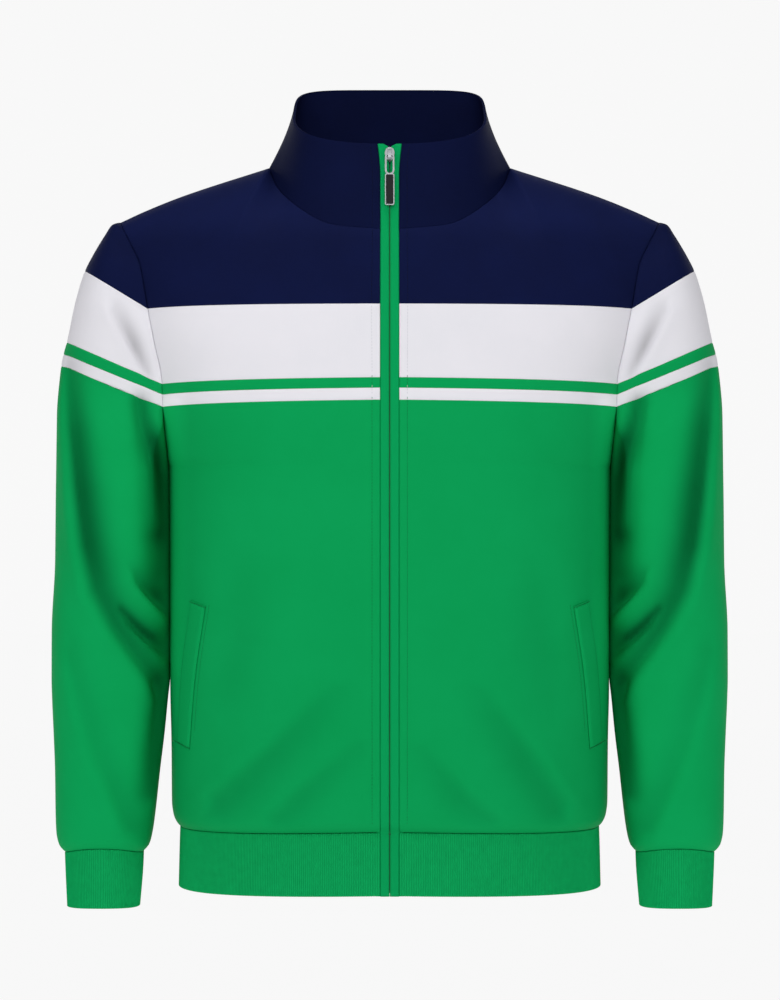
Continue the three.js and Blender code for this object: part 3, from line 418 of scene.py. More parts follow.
def bandPoint(run, angle, side):  # sleeve row over the arm, front of the armhole (-90) to its back (90)
    front, back = armholePoint(-1, run), armholePoint(1, run)
    middle = (front + back) / 2
    outline = Vector((column("armhole", "run", "outX", run), middle.y, column("armhole", "run", "outZ", run)))
    turn = math.radians(angle)
    point = middle + (outline - middle) * rounded(max(math.cos(turn), 0), garment["square"])
    point += (back - front) * rounded(math.sin(turn), garment["square"]) / 2
    point.y += math.copysign(7 * soft(run, 0, garment["navyRun"]) * math.sin(2 * turn) ** 2, angle)
    return creased(point, "sleeve", side)


def tubePoint(name, turn, z):
    out, inside, front, back = [column(name, "z", of, z) for of in ("out", "in", "front", "back")]
    x = (out + inside) / 2 + (out - inside) / 2 * rounded(math.cos(turn), garment["square"])
    y = (front + back) / 2 + (back - front) / 2 * rounded(math.sin(turn), garment["square"])
    return Vector((x, y, z + column(name, "z", "rise", z) * math.sin(turn) ** 2))


@lru_cache(maxsize=None)
def sleeveTop(share, side):  # the ring where the lower sleeve begins: over the arm, then round the underarm
    outer = 280 / 360
    if share <= outer:
        angle = lerp(-90, 90, share / outer)
        return math.radians(angle * 140 / 90), bandPoint(garment["whiteRun"], angle, side)
    w = (share - outer) / (1 - outer) * 2
    face, run = (1, w) if w <= 1 else (-1, 2 - w)
    return math.radians(140 + 40 * w), armholePoint(face, lerp(garment["whiteRun"], garment["underarm"], run))


def lowerSleevePoint(share, v, side):
    turn, top = sleeveTop(share, side)
    z = lerp(top.z, garment["sleeveEnd"], v)
    lead = top - tubePoint("sleeve", turn, top.z)
    point = tubePoint("sleeve", turn, z) + lead * (1 - soft(top.z - z, 0, 150))
    return creased(point, "sleeve", side) if v > 0 else point


def centreFront(z):  # rows of the body are given by their height at the side
    if z > -70:
        return lerp(-100, collarTop["front"], (z + 70) / (collarTop["z"] + 70))
    if z > -141.7:
        return yokePoint(-1, 0, (z + 141.7) / 71.7, 1).y
    name = "torso" if z > garment["centreSeam"] else "hem"
    level = z
    for i in range(4):
        level = z - column(name, "z", "rise", level)
    return column(name, "z", "front", level)


def zipPoint(x, z, depth):
    along = Vector((0, centreFront(z + 1) - centreFront(z - 1), 2)).normalized()
    return Vector((x, centreFront(z) + depth * along.z, z - depth * along.y))


# Materials


def linear(colour):  # sRGB hex to the shader's linear colour
    parts = [int(colour[i : i + 2], 16) / 255 for i in (1, 3, 5)]
    return [c / 12.92 if c <= 0.04045 else ((c + 0.055) / 1.055) ** 2.4 for c in parts] + [1]


# a node with its settings, and links from other sockets by input name
def addNode(tree, kind, links=None, **settings):
    node = tree.nodes.new(kind)
    for name, value in settings.items():
        if hasattr(node, name):
            setattr(node, name, value)
        else:
            node.inputs[name.replace("_", " ")].default_value = value
    for name, socket in (links or {}).items():
        tree.links.new(socket, node.inputs[name])
    return node


def newMaterial(name):
    material = bpy.data.materials.new(name)
    material.use_nodes = True
    material.node_tree.nodes.clear()
    return material, material.node_tree


def finishMaterial(tree, shader):
    output = addNode(tree, "ShaderNodeOutputMaterial")
    tree.links.new(shader.outputs[0], output.inputs["Surface"])


def knitMaterial(name, colour, shade, gloss, rough=0.62, wale=1.3):
    # Warp-knitted polyester tricot: a smooth close face with a soft satin gloss and faint upright wales
    material, tree = newMaterial(name)
    place = addNode(tree, "ShaderNodeTexCoord")
    # real wales are about 0.7 mm apart, too fine for the render, so they are drawn at 1.3 mm
    wales = addNode(tree, "ShaderNodeTexWave", {"Vector": place.outputs["UV"]}, Scale=1 / (wale * 2),
                    Distortion=0.5, Detail=2.0)
    wales.inputs["Detail Scale"].default_value = 0.6
    cloud = addNode(tree, "ShaderNodeTexNoise", {"Vector": place.outputs["Object"]}, Scale=14, Detail=5,
                    Roughness=0.6)
    fuzz = addNode(tree, "ShaderNodeTexNoise", {"Vector": place.outputs["Object"]}, Scale=900, Detail=2)
    tone = addNode(tree, "ShaderNodeMapRange", {"Value": cloud.outputs["Fac"]})
    tone.inputs["From Min"].default_value, tone.inputs["From Max"].default_value = 0.3, 0.7
    mixed = addNode(tree, "ShaderNodeMix", {"Factor": tone.outputs["Result"]}, data_type="RGBA")
    mixed.inputs[6].default_value, mixed.inputs[7].default_value = linear(shade), linear(colour)
    # painted light and shade from the cloth's attribute: the colour is darkened in the folds and on the
    # collar, and lightened below 0
    painted_light_and_shade = addNode(tree, "ShaderNodeAttribute", attribute_name="painted_light_and_shade")
    depth = addNode(tree, "ShaderNodeMapRange", {"Value": painted_light_and_shade.outputs["Fac"]})
    depth.inputs["From Min"].default_value, depth.inputs["From Max"].default_value = -0.5, 1.0
    depth.inputs["To Min"].default_value, depth.inputs["To Max"].default_value = 1.375, 0.25
    deep = addNode(tree, "ShaderNodeHueSaturation", {"Color": mixed.outputs[2],
                                                     "Value": depth.outputs["Result"]})
    relief = addNode(tree, "ShaderNodeMath", {0: wales.outputs["Fac"], 1: fuzz.outputs["Fac"]},
                     operation="ADD")
    bump = addNode(tree, "ShaderNodeBump", {"Height": relief.outputs[0]}, Strength=0.12, Distance=0.0002)
    shader = addNode(tree, "ShaderNodeBsdfPrincipled", {"Base Color": deep.outputs["Color"],
                                                        "Normal": bump.outputs[0]}, Roughness=rough)
    shader.inputs["Specular IOR Level"].default_value = 0.03
    shader.inputs["Specular Tint"].default_value = linear(gloss)
    finishMaterial(tree, shader)
    return material


def ribMaterial(name, colour, shade, gloss):
    # Flat-knitted 1x1 rib: matt yarn, with painted shade darkening the valleys between the ribs
    material, tree = newMaterial(name)
    place = addNode(tree, "ShaderNodeTexCoord")
    depth = addNode(tree, "ShaderNodeAttribute", attribute_name="rib")
    cloud = addNode(tree, "ShaderNodeTexNoise", {"Vector": place.outputs["Object"]}, Scale=160, Detail=4)
    fuzz = addNode(tree, "ShaderNodeTexNoise", {"Vector": place.outputs["Object"]}, Scale=1200, Detail=2)
    mixed = addNode(tree, "ShaderNodeMix", {"Factor": depth.outputs["Fac"]}, data_type="RGBA")
    mixed.inputs[6].default_value, mixed.inputs[7].default_value = linear(shade), linear(colour)
    varied = addNode(tree, "ShaderNodeHueSaturation", {"Color": mixed.outputs[2]})
    tone = addNode(tree, "ShaderNodeMapRange", {"Value": cloud.outputs["Fac"]})
    tone.inputs["To Min"].default_value, tone.inputs["To Max"].default_value = 0.88, 1.12
    tree.links.new(tone.outputs["Result"], varied.inputs["Value"])
    bump = addNode(tree, "ShaderNodeBump", {"Height": fuzz.outputs["Fac"]}, Strength=0.25, Distance=0.0002)
    shader = addNode(tree, "ShaderNodeBsdfPrincipled", {"Base Color": varied.outputs["Color"],
                                                        "Normal": bump.outputs[0]}, Roughness=0.8)
    shader.inputs["Specular IOR Level"].default_value = 0.03
    shader.inputs["Specular Tint"].default_value = linear(gloss)
    finishMaterial(tree, shader)
    return material


def plainMaterial(name, colour, rough, metal=0.0, grain=400.0, relief=0.05, specular=0.5, glow=0.0):
    material, tree = newMaterial(name)
    place = addNode(tree, "ShaderNodeTexCoord")
    noise = addNode(tree, "ShaderNodeTexNoise", {"Vector": place.outputs["Object"]}, Scale=grain, Detail=3)
    tone = addNode(tree, "ShaderNodeMapRange", {"Value": noise.outputs["Fac"]})
    tone.inputs["To Min"].default_value = max(rough - 0.06, 0.02)
    tone.inputs["To Max"].default_value = rough + 0.06
    bump = addNode(tree, "ShaderNodeBump", {"Height": noise.outputs["Fac"]}, Strength=relief, Distance=0.0002)
    shader = addNode(tree, "ShaderNodeBsdfPrincipled", {"Roughness": tone.outputs["Result"],
                                                        "Normal": bump.outputs[0]}, Metallic=metal)
    shader.inputs["Base Color"].default_value = linear(colour)
    shader.inputs["Specular IOR Level"].default_value = specular
    if glow:
        shader.inputs["Emission Color"].default_value = (1, 1, 1, 1)
        shader.inputs["Emission Strength"].default_value = glow
    finishMaterial(tree, shader)
    return material


finishes = {
    "navy": knitMaterial("polyester tricot, dyed navy", "#11183e", "#101638", "#8890d0", rough=0.6),
    "white": knitMaterial("polyester tricot, bleached white", "#e9e7ed", "#e5e4ea", "#ffffff", rough=0.66),
    "green": knitMaterial("polyester tricot, dyed green", "#0d9f56", "#0b9b52", "#60ffa8", rough=0.62),
    # the rib's second colour is painted shade for the valleys between its ribs
    "rib": ribMaterial("rib knit, dyed green", "#11aa5e", "#0d9551", "#60ffa8"),
    "tape": plainMaterial("woven polyester zip tape, dyed green", "#079c56", 0.8, grain=1500.0, relief=0.2,
                          specular=0.03),
    "coil": plainMaterial("polyester monofilament coil, dyed green", "#04522b", 0.5, specular=0.2),
    "threadGreen": plainMaterial("polyester sewing thread, green", "#056a37", 0.6, grain=2500.0, relief=0.3,
                                 specular=0.1),
    "threadNavy": plainMaterial("polyester sewing thread, navy", "#060922", 0.6, grain=2500.0, relief=0.3,
                                specular=0.1),
    "threadWhite": plainMaterial("polyester sewing thread, white", "#c9c9d1", 0.6, grain=2500.0, relief=0.3,
                                 specular=0.1),
    "nickel": plainMaterial("zinc casting, nickel plated", "#94989b", 0.36, metal=0.9, grain=300.0,
                            relief=0.03),
    "enamel": plainMaterial("black enamel in the pull", "#1a1b1c", 0.38, grain=900.0, relief=0.04,
                            specular=0.12),
}
print("materials made")


# Cloth pieces


def spots(length, step, fine=(0, 0.5, 1.2, 2.2, 3.8), low=True, high=True):
    # places along a length, 0 to 1, close together at its seams
    start = [d for d in fine] if low else [0]
    end = [length - d for d in reversed(fine)] if high else [length]
    count = max(2, round((end[0] - start[-1]) / step))
    middle = [lerp(start[-1], end[0], i / count) for i in range(1, count)]
    return [d / length for d in start + middle + end]


def finishPiece(name, bm, finish, body="jacket", wall=0.0, smooth=True, on=None):
    mesh = bpy.data.meshes.new(name)
    if on:
        # painted light and shade for each point of the cloth, read by its material
        layer = bm.verts.layers.float.new("painted_light_and_shade")
        for vert in bm.verts:
            point = Vector((abs(vert.co.x), vert.co.y, vert.co.z)) / mm
            vert[layer] = paintedLightAndShadeAt(point, on, 1 if vert.co.x > 0 else -1)
    for face in bm.faces:
        face.smooth = smooth
    bm.to_mesh(mesh)
    bm.free()
    mesh.materials.append(finishes[finish])
    piece = bpy.data.objects.new(name, mesh)
    bpy.context.scene.collection.objects.link(piece)
    if wall:
        solid = piece.modifiers.new("wall", "SOLIDIFY")
        solid.thickness = wall * mm
        solid.offset = -1
    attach(piece, body)
    return piece


def clothGrid(across, down, place, hollow, size, closed=False):
    # a grid laid on the garment: place gives a point for each spot across and down
    bm = bmesh.new()
    uv = bm.loops.layers.uv.new("cut")
    bmesh.ops.create_grid(bm, x_segments=len(across) - 1, y_segments=len(down) - 1, size=1, calc_uvs=True)
    for face in bm.faces:
        for loop in face.loops:
            loop[uv].uv = ((loop.vert.co.x + 1) / 2 * size[0], (loop.vert.co.y + 1) / 2 * size[1])
    for vert in bm.verts:
        i = round((vert.co.x + 1) / 2 * (len(across) - 1))
        k = round((vert.co.y + 1) / 2 * (len(down) - 1))
        vert.co = place(across[i], down[k])
    if closed:
        bmesh.ops.remove_doubles(bm, verts=bm.verts, dist=0.02)
    bm.normal_update()
    outward = 0
    for face in bm.faces:
        middle = face.calc_center_median()
        outward += face.normal.dot(middle - Vector((hollow[0], hollow[1], middle.z)))
    if outward < 0:
        bmesh.ops.reverse_faces(bm, faces=bm.faces)
        bm.normal_update()
    return bm


def toMetres(bm, side=1):
    for vert in bm.verts:
        vert.co = Vector((vert.co.x * side, vert.co.y, vert.co.z)) * mm
    if side < 0:
        bmesh.ops.reverse_faces(bm, faces=bm.faces)


sewn = []


def sewPiece(name, finish, across, down, place, hollow, size, side, nodes, cut, area=None, closed=False,
             held="draped", wall=1.3):
    bm = clothGrid(across, down, place, hollow, size, closed)
    toMetres(bm, side)
    bm.normal_update()
    sewn.append({"name": name, "finish": finish, "bm": bm, "nodes": nodes, "cut": cut, "area": area,
                 "held": held, "wall": wall})


def turnSeams(depth, reach):  # the cloth turns in a little at its seams, the same on both sides of each
    rims = []
    for piece in sewn:
        rims += [(vert.co.copy(), vert.normal.copy()) for vert in piece["bm"].verts if vert.is_boundary]
    shared = kdtree.KDTree(len(rims))
    for i, (place, normal) in enumerate(rims):
        shared.insert(place, i)
    shared.balance()
    for piece in sewn:
        rim = [vert.co.copy() for vert in piece["bm"].verts if vert.is_boundary]
        own = kdtree.KDTree(len(rim))
        for i, place in enumerate(rim):
            own.insert(place, i)
        own.balance()
        moves = []
        for vert in piece["bm"].verts:
            out = vert.normal.copy()
            if vert.is_boundary:
                for near in shared.find_range(vert.co, 0.5 * mm):
                    out += rims[near[1]][1]
                out.normalize()
            far = own.find(vert.co)[2] / mm
            moves.append((vert, out * (depth * mm * math.exp(-((far / reach) ** 2)))))
        for vert, move in moves:
            vert.co -= move


def layPieces():
    for piece in sewn:
        on = next((part for part in ("sleeve", "collar") if piece["name"].startswith(part)), "torso")
        made = finishPiece(piece["name"], piece["bm"], piece["finish"], wall=piece["wall"], on=on)
        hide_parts(*piece["nodes"])


bands = table(
    "name finish fromRun toRun",
    ("band_white", "white", garment["navyRun"], garment["bandRun"]),
    ("stripe_green", "green", garment["bandRun"], garment["greenRun"]),
    ("stripe_white", "white", garment["greenRun"], garment["whiteRun"]),
)
torsoCut = {"half": 250, "yokeHigh": 150, "lowerHigh": 404, "backHalf": 238, "step": 3.2}


def lowerLevel(t):  # run of the armhole down to the underarm, then height
    high = garment["underarm"] - garment["whiteRun"]
    below = -290 - garment["hemSeam"]
    d = t * (high + below)
    return garment["whiteRun"] + d if d <= high else -290 - (d - high)


for side, letter in ((-1, "L"), (1, "R")):
    across = spots(torsoCut["half"], torsoCut["step"])
    sewPiece(f"front_yoke_{letter}_cloth", "navy", across, spots(150, torsoCut["step"]), lambda u,
             t: yokePoint(-1, u, t, side),
             (0, 0), (250, 150), side, [f"front_yoke_{letter}"], (0.26, 0.18), area=0.032)
    for band in bands:
        high = band["toRun"] - band["fromRun"]
        sewPiece(f"front_{band['name']}_{letter}_cloth", band["finish"], across,
                 spots(high, torsoCut["step"]),
                 lambda u, t: torsoPoint(-1, u, lerp(band["toRun"], band["fromRun"], t), side), (0,
                         0), (250, high), side,
                 [f"front_{band['name']}_{letter}"], (0.235, max(high * mm, 0.0101)))
    sewPiece(f"front_lower_{letter}_cloth", "green", across, spots(torsoCut["lowerHigh"], torsoCut["step"]),
             lambda u, t: torsoPoint(-1, u, lowerLevel(1 - t), side), (0, 0), (250,
                     404), side, [f"front_lower_{letter}"], (0.26, 0.4), area=0.104)
print("fronts sewn")


def backOf(place):
    def placed(u, t):
        w = 2 * u - 1
        side = -1 if w < 0 else 1
        point = place(abs(w), t, side)
        return Vector((point.x * side, point.y, point.z))
    return placed


backAcross = spots(2 * torsoCut["backHalf"], torsoCut["step"])
sewPiece("back_yoke_cloth", "navy", backAcross, spots(150, torsoCut["step"]),
         backOf(lambda u, t, side: yokePoint(1, u, t, side)),
         (0, 0), (476, 150), 1, ["back_yoke"], (0.53, 0.19), area=0.072)
for band in bands:
    high = band["toRun"] - band["fromRun"]
    sewPiece(f"back_{band['name']}_cloth", band["finish"], backAcross, spots(high, torsoCut["step"]),
             backOf(lambda u, t, side: torsoPoint(1, u, lerp(band["toRun"], band["fromRun"], t), side)), (0,
                     0), (476, high), 1,
             [f"back_{band['name']}"], (0.465, max(high * mm, 0.0101)))
sewPiece("back_lower_cloth", "green", backAcross, spots(torsoCut["lowerHigh"], torsoCut["step"]),
         backOf(lambda u, t, side: torsoPoint(1, u, lowerLevel(1 - t), side)), (0, 0), (476,
                 404), 1, ["back_lower"], (0.51, 0.4), area=0.2)
print("back sewn")

sleeveCut = {"band": 250, "lowerRound": 400, "lowerLong": 450, "step": 3.2}
for side, letter in ((-1, "L"), (1, "R")):
    across = spots(sleeveCut["band"], sleeveCut["step"])
    sewPiece(f"sleeve_cap_{letter}_cloth", "navy", across, spots(121.4, sleeveCut["step"]),
             lambda u, t: bandPoint(lerp(garment["navyRun"], 0.5, t), lerp(-90, 90, u), side), (200,
                     0), (250, 121), side,
             [f"sleeve_cap_{letter}"], (0.2, 0.13), area=0.0125)
    for band in bands:
        high = band["toRun"] - band["fromRun"]
        sewPiece(f"sleeve_{band['name']}_{letter}_cloth", band["finish"], across,
                 spots(high, sleeveCut["step"]),
                 lambda u, t: bandPoint(lerp(band["toRun"], band["fromRun"], t), lerp(-90, 90, u),
                                        side), (250, 0), (250, high), side,
                 [f"sleeve_{band['name']}_{letter}"], (0.26, max(high * mm, 0.0101)))
    around = [i / 128 for i in range(129)]
    sewPiece(f"sleeve_lower_{letter}_cloth", "green", around,
             spots(sleeveCut["lowerLong"], sleeveCut["step"]),
             lambda u, t: lowerSleevePoint(u, 1 - t, side), (268, -6), (400,
                     450), side, [f"sleeve_lower_{letter}"], (0.37, 0.46), area=0.148, closed=True)
print("sleeves sewn")

# Rib knit: real ribs, raised from the wall, with the fold at the free edge
ribKnit = {"hemRibs": 620, "cuffRibs": 128, "height": 0.6, "wall": 1.0, "row": 6, "foldRound": 1.5,
           "foldReach": 2.2}


def ribPiece(name, rows, count, place, hollow, side, nodes, closed):
    low, high = tables[rows][-1]["z"], tables[rows][0]["z"]
    steps = count * 4
    across = [i / steps for i in range(steps + 1)]
    down = spots(high - low, ribKnit["row"], fine=(0, 0.5, 1.3, 2.6))
    long = high - low
    bm = clothGrid(across, down, lambda u, t: place(u, lerp(low, high, t)), hollow, (count, long), closed)
    layer = bm.verts.layers.float.new("rib")
    uv = bm.loops.layers.uv["cut"]
    moves = []
    for vert in bm.verts:
        rib, up = vert.link_loops[0][uv].uv
        wave = 0.5 - 0.5 * math.cos(2 * math.pi * rib)
        turned = ribKnit["foldRound"] * max(0, 1 - min(up, long - up) / ribKnit["foldReach"]) ** 2
        # the rib value also sets the painted shade in the valleys between the ribs
        vert[layer] = wave
        moves.append((vert, vert.normal * (ribKnit["height"] * (wave - 1) - turned)))
    for vert, move in moves:
        vert.co += move
    toMetres(bm, side)
    piece = finishPiece(name, bm, "rib", wall=ribKnit["wall"])
    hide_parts(*nodes)
    return piece


def hemPlace(u, z):
    w = 4 * u
    part = min(int(w), 3)
    w -= part
    face = -1 if part in (0, 3) else 1
    side = -1 if part < 2 else 1
    around = w if part in (0, 2) else 1 - w
    edge = Vector((column("hem", "z", "half", z), 0, z))
    point = sectionPoint("hem", face, around, z, edge)
    return Vector((point.x * side, point.y, point.z))


ribPiece("hem_rib_knit", "hem", ribKnit["hemRibs"], hemPlace, (0, 0), 1, ["hem_rib"], False)
for side, letter in ((-1, "L"), (1, "R")):
    ribPiece(f"cuff_{letter}_knit", "cuff", ribKnit["cuffRibs"], lambda u,
             z: tubePoint("cuff", 2 * math.pi * u, z), (275.5, -15), side,
             [f"cuff_{letter}"], True)
print("ribs knitted")

# Collar: two layers folded at the top on the jacket, drawn as one sheet with a thick wall
collarCut = {"round": 620, "high": 82, "wall": 2.4, "allowance": 1.1, "tuck": 0.986}


def collarPlace(u, t):
    w = 2 * u
    side = -1 if w < 1 else 1
    along = lerp(-1, 1, w if w < 1 else 2 - w)
    point = collarPoint(along, max(t, 0))
    if t < 0:  # the seam allowance, turned down inside the yokes
        point += (point - collarPoint(along, 0.02)) * collarCut["allowance"]
        point.x, point.y = point.x * collarCut["tuck"], point.y * collarCut["tuck"]
    return Vector((point.x * side, point.y, point.z))


sewPiece("collar_cloth", "navy", spots(collarCut["round"], 3.2), [-1] + spots(collarCut["high"], 3.2),
         collarPlace, (0, 0), (620, 82), 1,
         ["collar"], (0.52, 0.085), held="stretched", wall=collarCut["wall"])
turnSeams(0.4, 1.1)
layPieces()
print("collar sewn, seams turned")

# Stitches: short raised loops of thread along a line of points
topstitch = {"pitch": 3.0, "long": 2.3, "thick": 0.5, "fromEdge": 7.3}


def stitchLine(name, points, outs, finish, pitch, long, thick):
    bm = bmesh.new()
    walked, target = 0.0, pitch / 2
    for i in range(len(points) - 1):
        step = (points[i + 1] - points[i]).length
        while walked + step >= target:
            t = (target - walked) / step
            place = points[i].lerp(points[i + 1], t)
            way = (points[i + 1] - points[i]).normalized()
            out = outs[i].lerp(outs[i + 1], t)
            out = (out - way * out.dot(way)).normalized()
            across = way.cross(out)
            turn = Matrix((across, way, out)).transposed().to_4x4()
            size = Matrix.Diagonal((thick / 2, long / 2, thick * 0.4, 1))
            laid = Matrix.Translation((place + out * thick * 0.1) * mm) @ turn @ Matrix.Scale(mm, 4) @ size
            bmesh.ops.create_uvsphere(bm, u_segments=6, v_segments=4, radius=1, matrix=laid)
            target += pitch
        walked += step
    return finishPiece(name, bm, finish)


def frontSurface(u, z, side):  # point and outward direction of the lower front
    point = torsoPoint(-1, u, z, side)
    across = torsoPoint(-1, u + 0.01, z, side) - point
    up = torsoPoint(-1, u, z + 1, side) - point
    return point, across.cross(up).normalized()


def frontLine(x, z, side):  # point on the front beside the zip, at a distance from the centre
    width = 213 - garment["zipEdge"]
    u = (x - garment["zipEdge"]) / (width * 1.8)
    if z > -70:
        v = (z + 70) / 80
        return collarPoint(-1 + (x - garment["zipEdge"]) / 179, v)
    if z > -141.7:
        return yokePoint(-1, u, (z + 141.7) / 71.7, side)
    run = column("armhole", "z", "run", z)
    if z > -290:
        return torsoPoint(-1, u, run, side)
    return torsoPoint(-1, u, z, side)


topstitchRuns = table(
    "part finish low high",
    ("lower", "threadGreen", -627, -231),
    ("stripes", "threadWhite", -229, -220.5),
    ("stripeGreen", "threadGreen", -219.5, -210),
    ("band", "threadWhite", -208, -142.5),
    ("yoke", "threadNavy", -140.5, -71),
    ("collar", "threadNavy", -69, 8),
)
for side, letter in ((-1, "L"), (1, "R")):
    for run in topstitchRuns:
        heights = [lerp(run["low"], run["high"], i / 60) for i in range(61)]
        points = [frontLine(garment["zipEdge"] + topstitch["fromEdge"], z, side) for z in heights]
        points = [Vector((p.x * side, p.y, p.z)) for p in points]
        outs = [Vector((0, -1, 0))] * len(points)
        stitchLine(f"topstitch_{run['part']}_{letter}", points, outs, run["finish"],
                   topstitch["pitch"], topstitch["long"], topstitch["thick"])
print("topstitched")

# Zip: two woven tapes, their coil behind, the slider and its pull
zipParts = {"low": -688, "high": 10.5, "tapeWall": 1.0, "sink": 0.3, "slit": 0.45, "slitTop": 1.5,
            "under": 3.5}
for side, letter in ((-1, "L"), (1, "R")):

    def tapePlace(u, t):
        z = lerp(zipParts["low"], zipParts["high"], t)
        outer = lerp(garment["zipEdge"], garment["zipEdgeTop"], flare(z))
        inner = lerp(zipParts["slit"], zipParts["slitTop"], flare(z)) - 0.38 * soft(-z, 682, 686)
        x = lerp(inner, outer + zipParts["under"], u)
        rolled = 0.9 * math.exp(-(((x - inner) / 0.8) ** 2)) * (1 - flare(z))
        under = 1.3 if z < -72 else 2.5
        # the inner corners of the tapes are folded down
        z -= 2.2 * soft(z, 0, 10) * (1 - soft(x, inner, inner + 5))
        return zipPoint(x, z, zipParts["sink"] + rolled + under * soft(x, outer - 0.9, outer + 0.1))

    tapeAcross = [0, 0.03, 0.07, 0.12, 0.2, 0.35, 0.5, 0.6, 0.64, 0.67, 0.7, 0.73, 0.76, 0.85, 1]
    bm = clothGrid(tapeAcross, [i / 240 for i in range(241)], tapePlace, (0, 0), (12, 698))
    toMetres(bm, side)
    tape = finishPiece(f"zip_tape_{letter}_woven", bm, "tape", wall=zipParts["tapeWall"])
    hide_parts(f"zip_tape_{letter}")
print("zip tapes laid")

# Pocket welts: a folded strip on the points of the front, with its stitching
# both ends run a little down toward the zip
weltCut = {"top": -418.5, "bottom": -554.5, "wall": 1.9, "seat": 0.3, "tilt": 2.6}


def acrossAt(x, z, side):
    low, high = 0.4, 1
    for i in range(24):
        middle = (low + high) / 2
        if torsoPoint(-1, middle, z, side).x < x:
            low = middle
        else:
            high = middle
    return low


for side, letter in ((-1, "L"), (1, "R")):
    heights = [lerp(weltCut["top"], weltCut["bottom"], i / 60) for i in range(61)]
    inner, outer = [[acrossAt(column("welt", "z", edge, z), z + tilt, side) for z in heights]
                    for edge, tilt in (("inner", -weltCut["tilt"]), ("outer", weltCut["tilt"]))]

    def weltPlace(u, t):
        k = min(int((1 - t) * 60 + 0.5), 60)
        at = lerp(inner[k], outer[k], u)
        level = heights[k] + lerp(-weltCut["tilt"], weltCut["tilt"], u)
        point, out = frontSurface(at, level, side)
        edge = min(u, 1 - u) * 24
        end = min(t, 1 - t) * 136
        crown = 1 - math.exp(-((min(edge, end) / 1.2) ** 2)) * 0.75
        return point + out * (weltCut["seat"] + weltCut["wall"] * crown)

    bm = clothGrid([0, 0.03, 0.08, 0.16, 0.3, 0.5, 0.7, 0.84, 0.92, 0.97, 1], [i / 60 for i in range(61)],
                   weltPlace, (0, 0), (24, 136))
    toMetres(bm, side)
    welt = finishPiece(f"pocket_welt_{letter}_cloth", bm, "green", wall=0.9)
    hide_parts(f"pocket_welt_{letter}")
print("pocket welts sewn")

# Welt stitching: a line beside the inner seam and short bars across both ends
for side, letter in ((-1, "L"), (1, "R")):
    def weltSpot(z, name, past):  # point on the front, beside the welt's edge by so many millimetres
        u = acrossAt(column("welt", "z", name, z) + past, z, side)
        point, out = frontSurface(u, z, side)
        return Vector((point.x * side, point.y, point.z)), Vector((out.x * side, out.y, out.z))

    line = [weltSpot(lerp(weltCut["top"] - 0.5, weltCut["bottom"] + 14.5, i / 50), "inner",
                     -3.4) for i in range(51)]
    stitchLine(f"welt_stitches_{letter}", [p for p, n in line], [n for p, n in line], "threadGreen",
               pitch=2.7, long=1.9, thick=0.55)
    for end, z in (("top", weltCut["top"] - 1.1), ("bottom", weltCut["bottom"] + 1.1)):
        line = []
        for i in range(21):
            point, out = weltSpot(z + lerp(-weltCut["tilt"], weltCut["tilt"], i / 20), "inner",
                                  lerp(-1.5, 15.5, i / 20))
            line.append((point + out * 1.75, out))
        stitchLine(f"welt_bar_{end}_{letter}", [p for p, n in line], [n for p, n in line], "threadGreen",
                   pitch=1.5, long=1.35, thick=0.8)
print("welts stitched")

for node, finish in (("zip_coil", "coil"), ("zip_slider", "nickel"), ("zip_pull", "nickel"),
                     ("zip_pull_plate", "enamel")):
    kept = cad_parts[node]
    kept.data.materials.clear()
    kept.data.materials.append(finishes[finish])

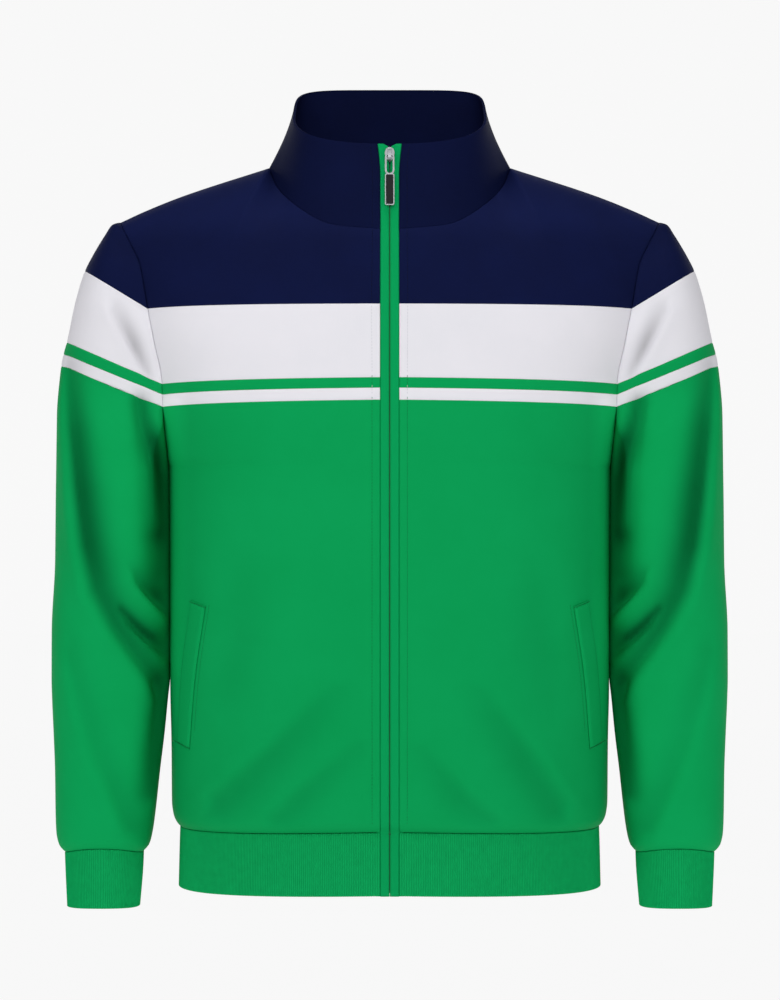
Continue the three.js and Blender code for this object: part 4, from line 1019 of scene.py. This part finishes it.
# Studio: pale cove, soft lights, camera as in the photograph
studio = {"eye": (0.0003, -2.3, -0.322), "lens": 85.36, "floor": -1.25, "wall": 3.8}
paper = plainMaterial("white studio paper, lit from behind", "#3c3c3c", 0.9, grain=3.0, relief=0.0,
                      specular=0.0, glow=0.914)
bm = bmesh.new()
bmesh.ops.create_grid(bm, x_segments=1, y_segments=24, size=1)
for vert in bm.verts:
    t = (vert.co.y + 1) / 2 * 10
    bend = 0.8
    if t < 5:
        vert.co = Vector((vert.co.x * 5, -4 + t * (studio["wall"] - bend + 4) / 5, studio["floor"]))
    elif t < 7:
        turn = (t - 5) / 2 * math.pi / 2
        vert.co = Vector((vert.co.x * 5, studio["wall"] - bend + bend * math.sin(turn),
                          studio["floor"] + bend - bend * math.cos(turn)))
    else:
        vert.co = Vector((vert.co.x * 5, studio["wall"], studio["floor"] + bend + (t - 7)))
mesh = bpy.data.meshes.new("cove")
bm.to_mesh(mesh)
bm.free()
mesh.materials.append(paper)
cove = bpy.data.objects.new("cove", mesh)
bpy.context.scene.collection.objects.link(cove)


def softLight(name, place, aim, power, size):
    light = bpy.data.lights.new(name, "AREA")
    light.energy, light.size = power, size
    lamp = bpy.data.objects.new(name, light)
    lamp.location = place
    lamp.rotation_euler = (Vector(aim) - Vector(place)).to_track_quat("-Z", "Y").to_euler()
    bpy.context.scene.collection.objects.link(lamp)


softLight("front", (0, -2.9, 0.5), (0, 0, -0.3), 25, 1.6)
softLight("key", (-1.9, -1.9, 1.2), (0, 0, -0.3), 18, 1.3)
softLight("fill", (2.1, -1.9, 0.7), (0, 0, -0.3), 11, 1.4)
softLight("top", (0, -0.6, 2.0), (0, 0, -0.3), 18, 1.2)
world = bpy.data.worlds.new("room")
world.use_nodes = True
world.node_tree.nodes["Background"].inputs[0].default_value = (1, 1, 1, 1)
world.node_tree.nodes["Background"].inputs[1].default_value = 0.16
bpy.context.scene.world = world
bpy.context.scene.view_settings.view_transform = "Standard"
camera = bpy.data.objects.new("camera", bpy.data.cameras.new("camera"))
camera.location = studio["eye"]
camera.rotation_euler = (math.pi / 2, 0, 0)
camera.data.lens = studio["lens"]
camera.data.sensor_width = 36
bpy.context.scene.collection.objects.link(camera)
bpy.context.scene.camera = camera
print("studio ready")
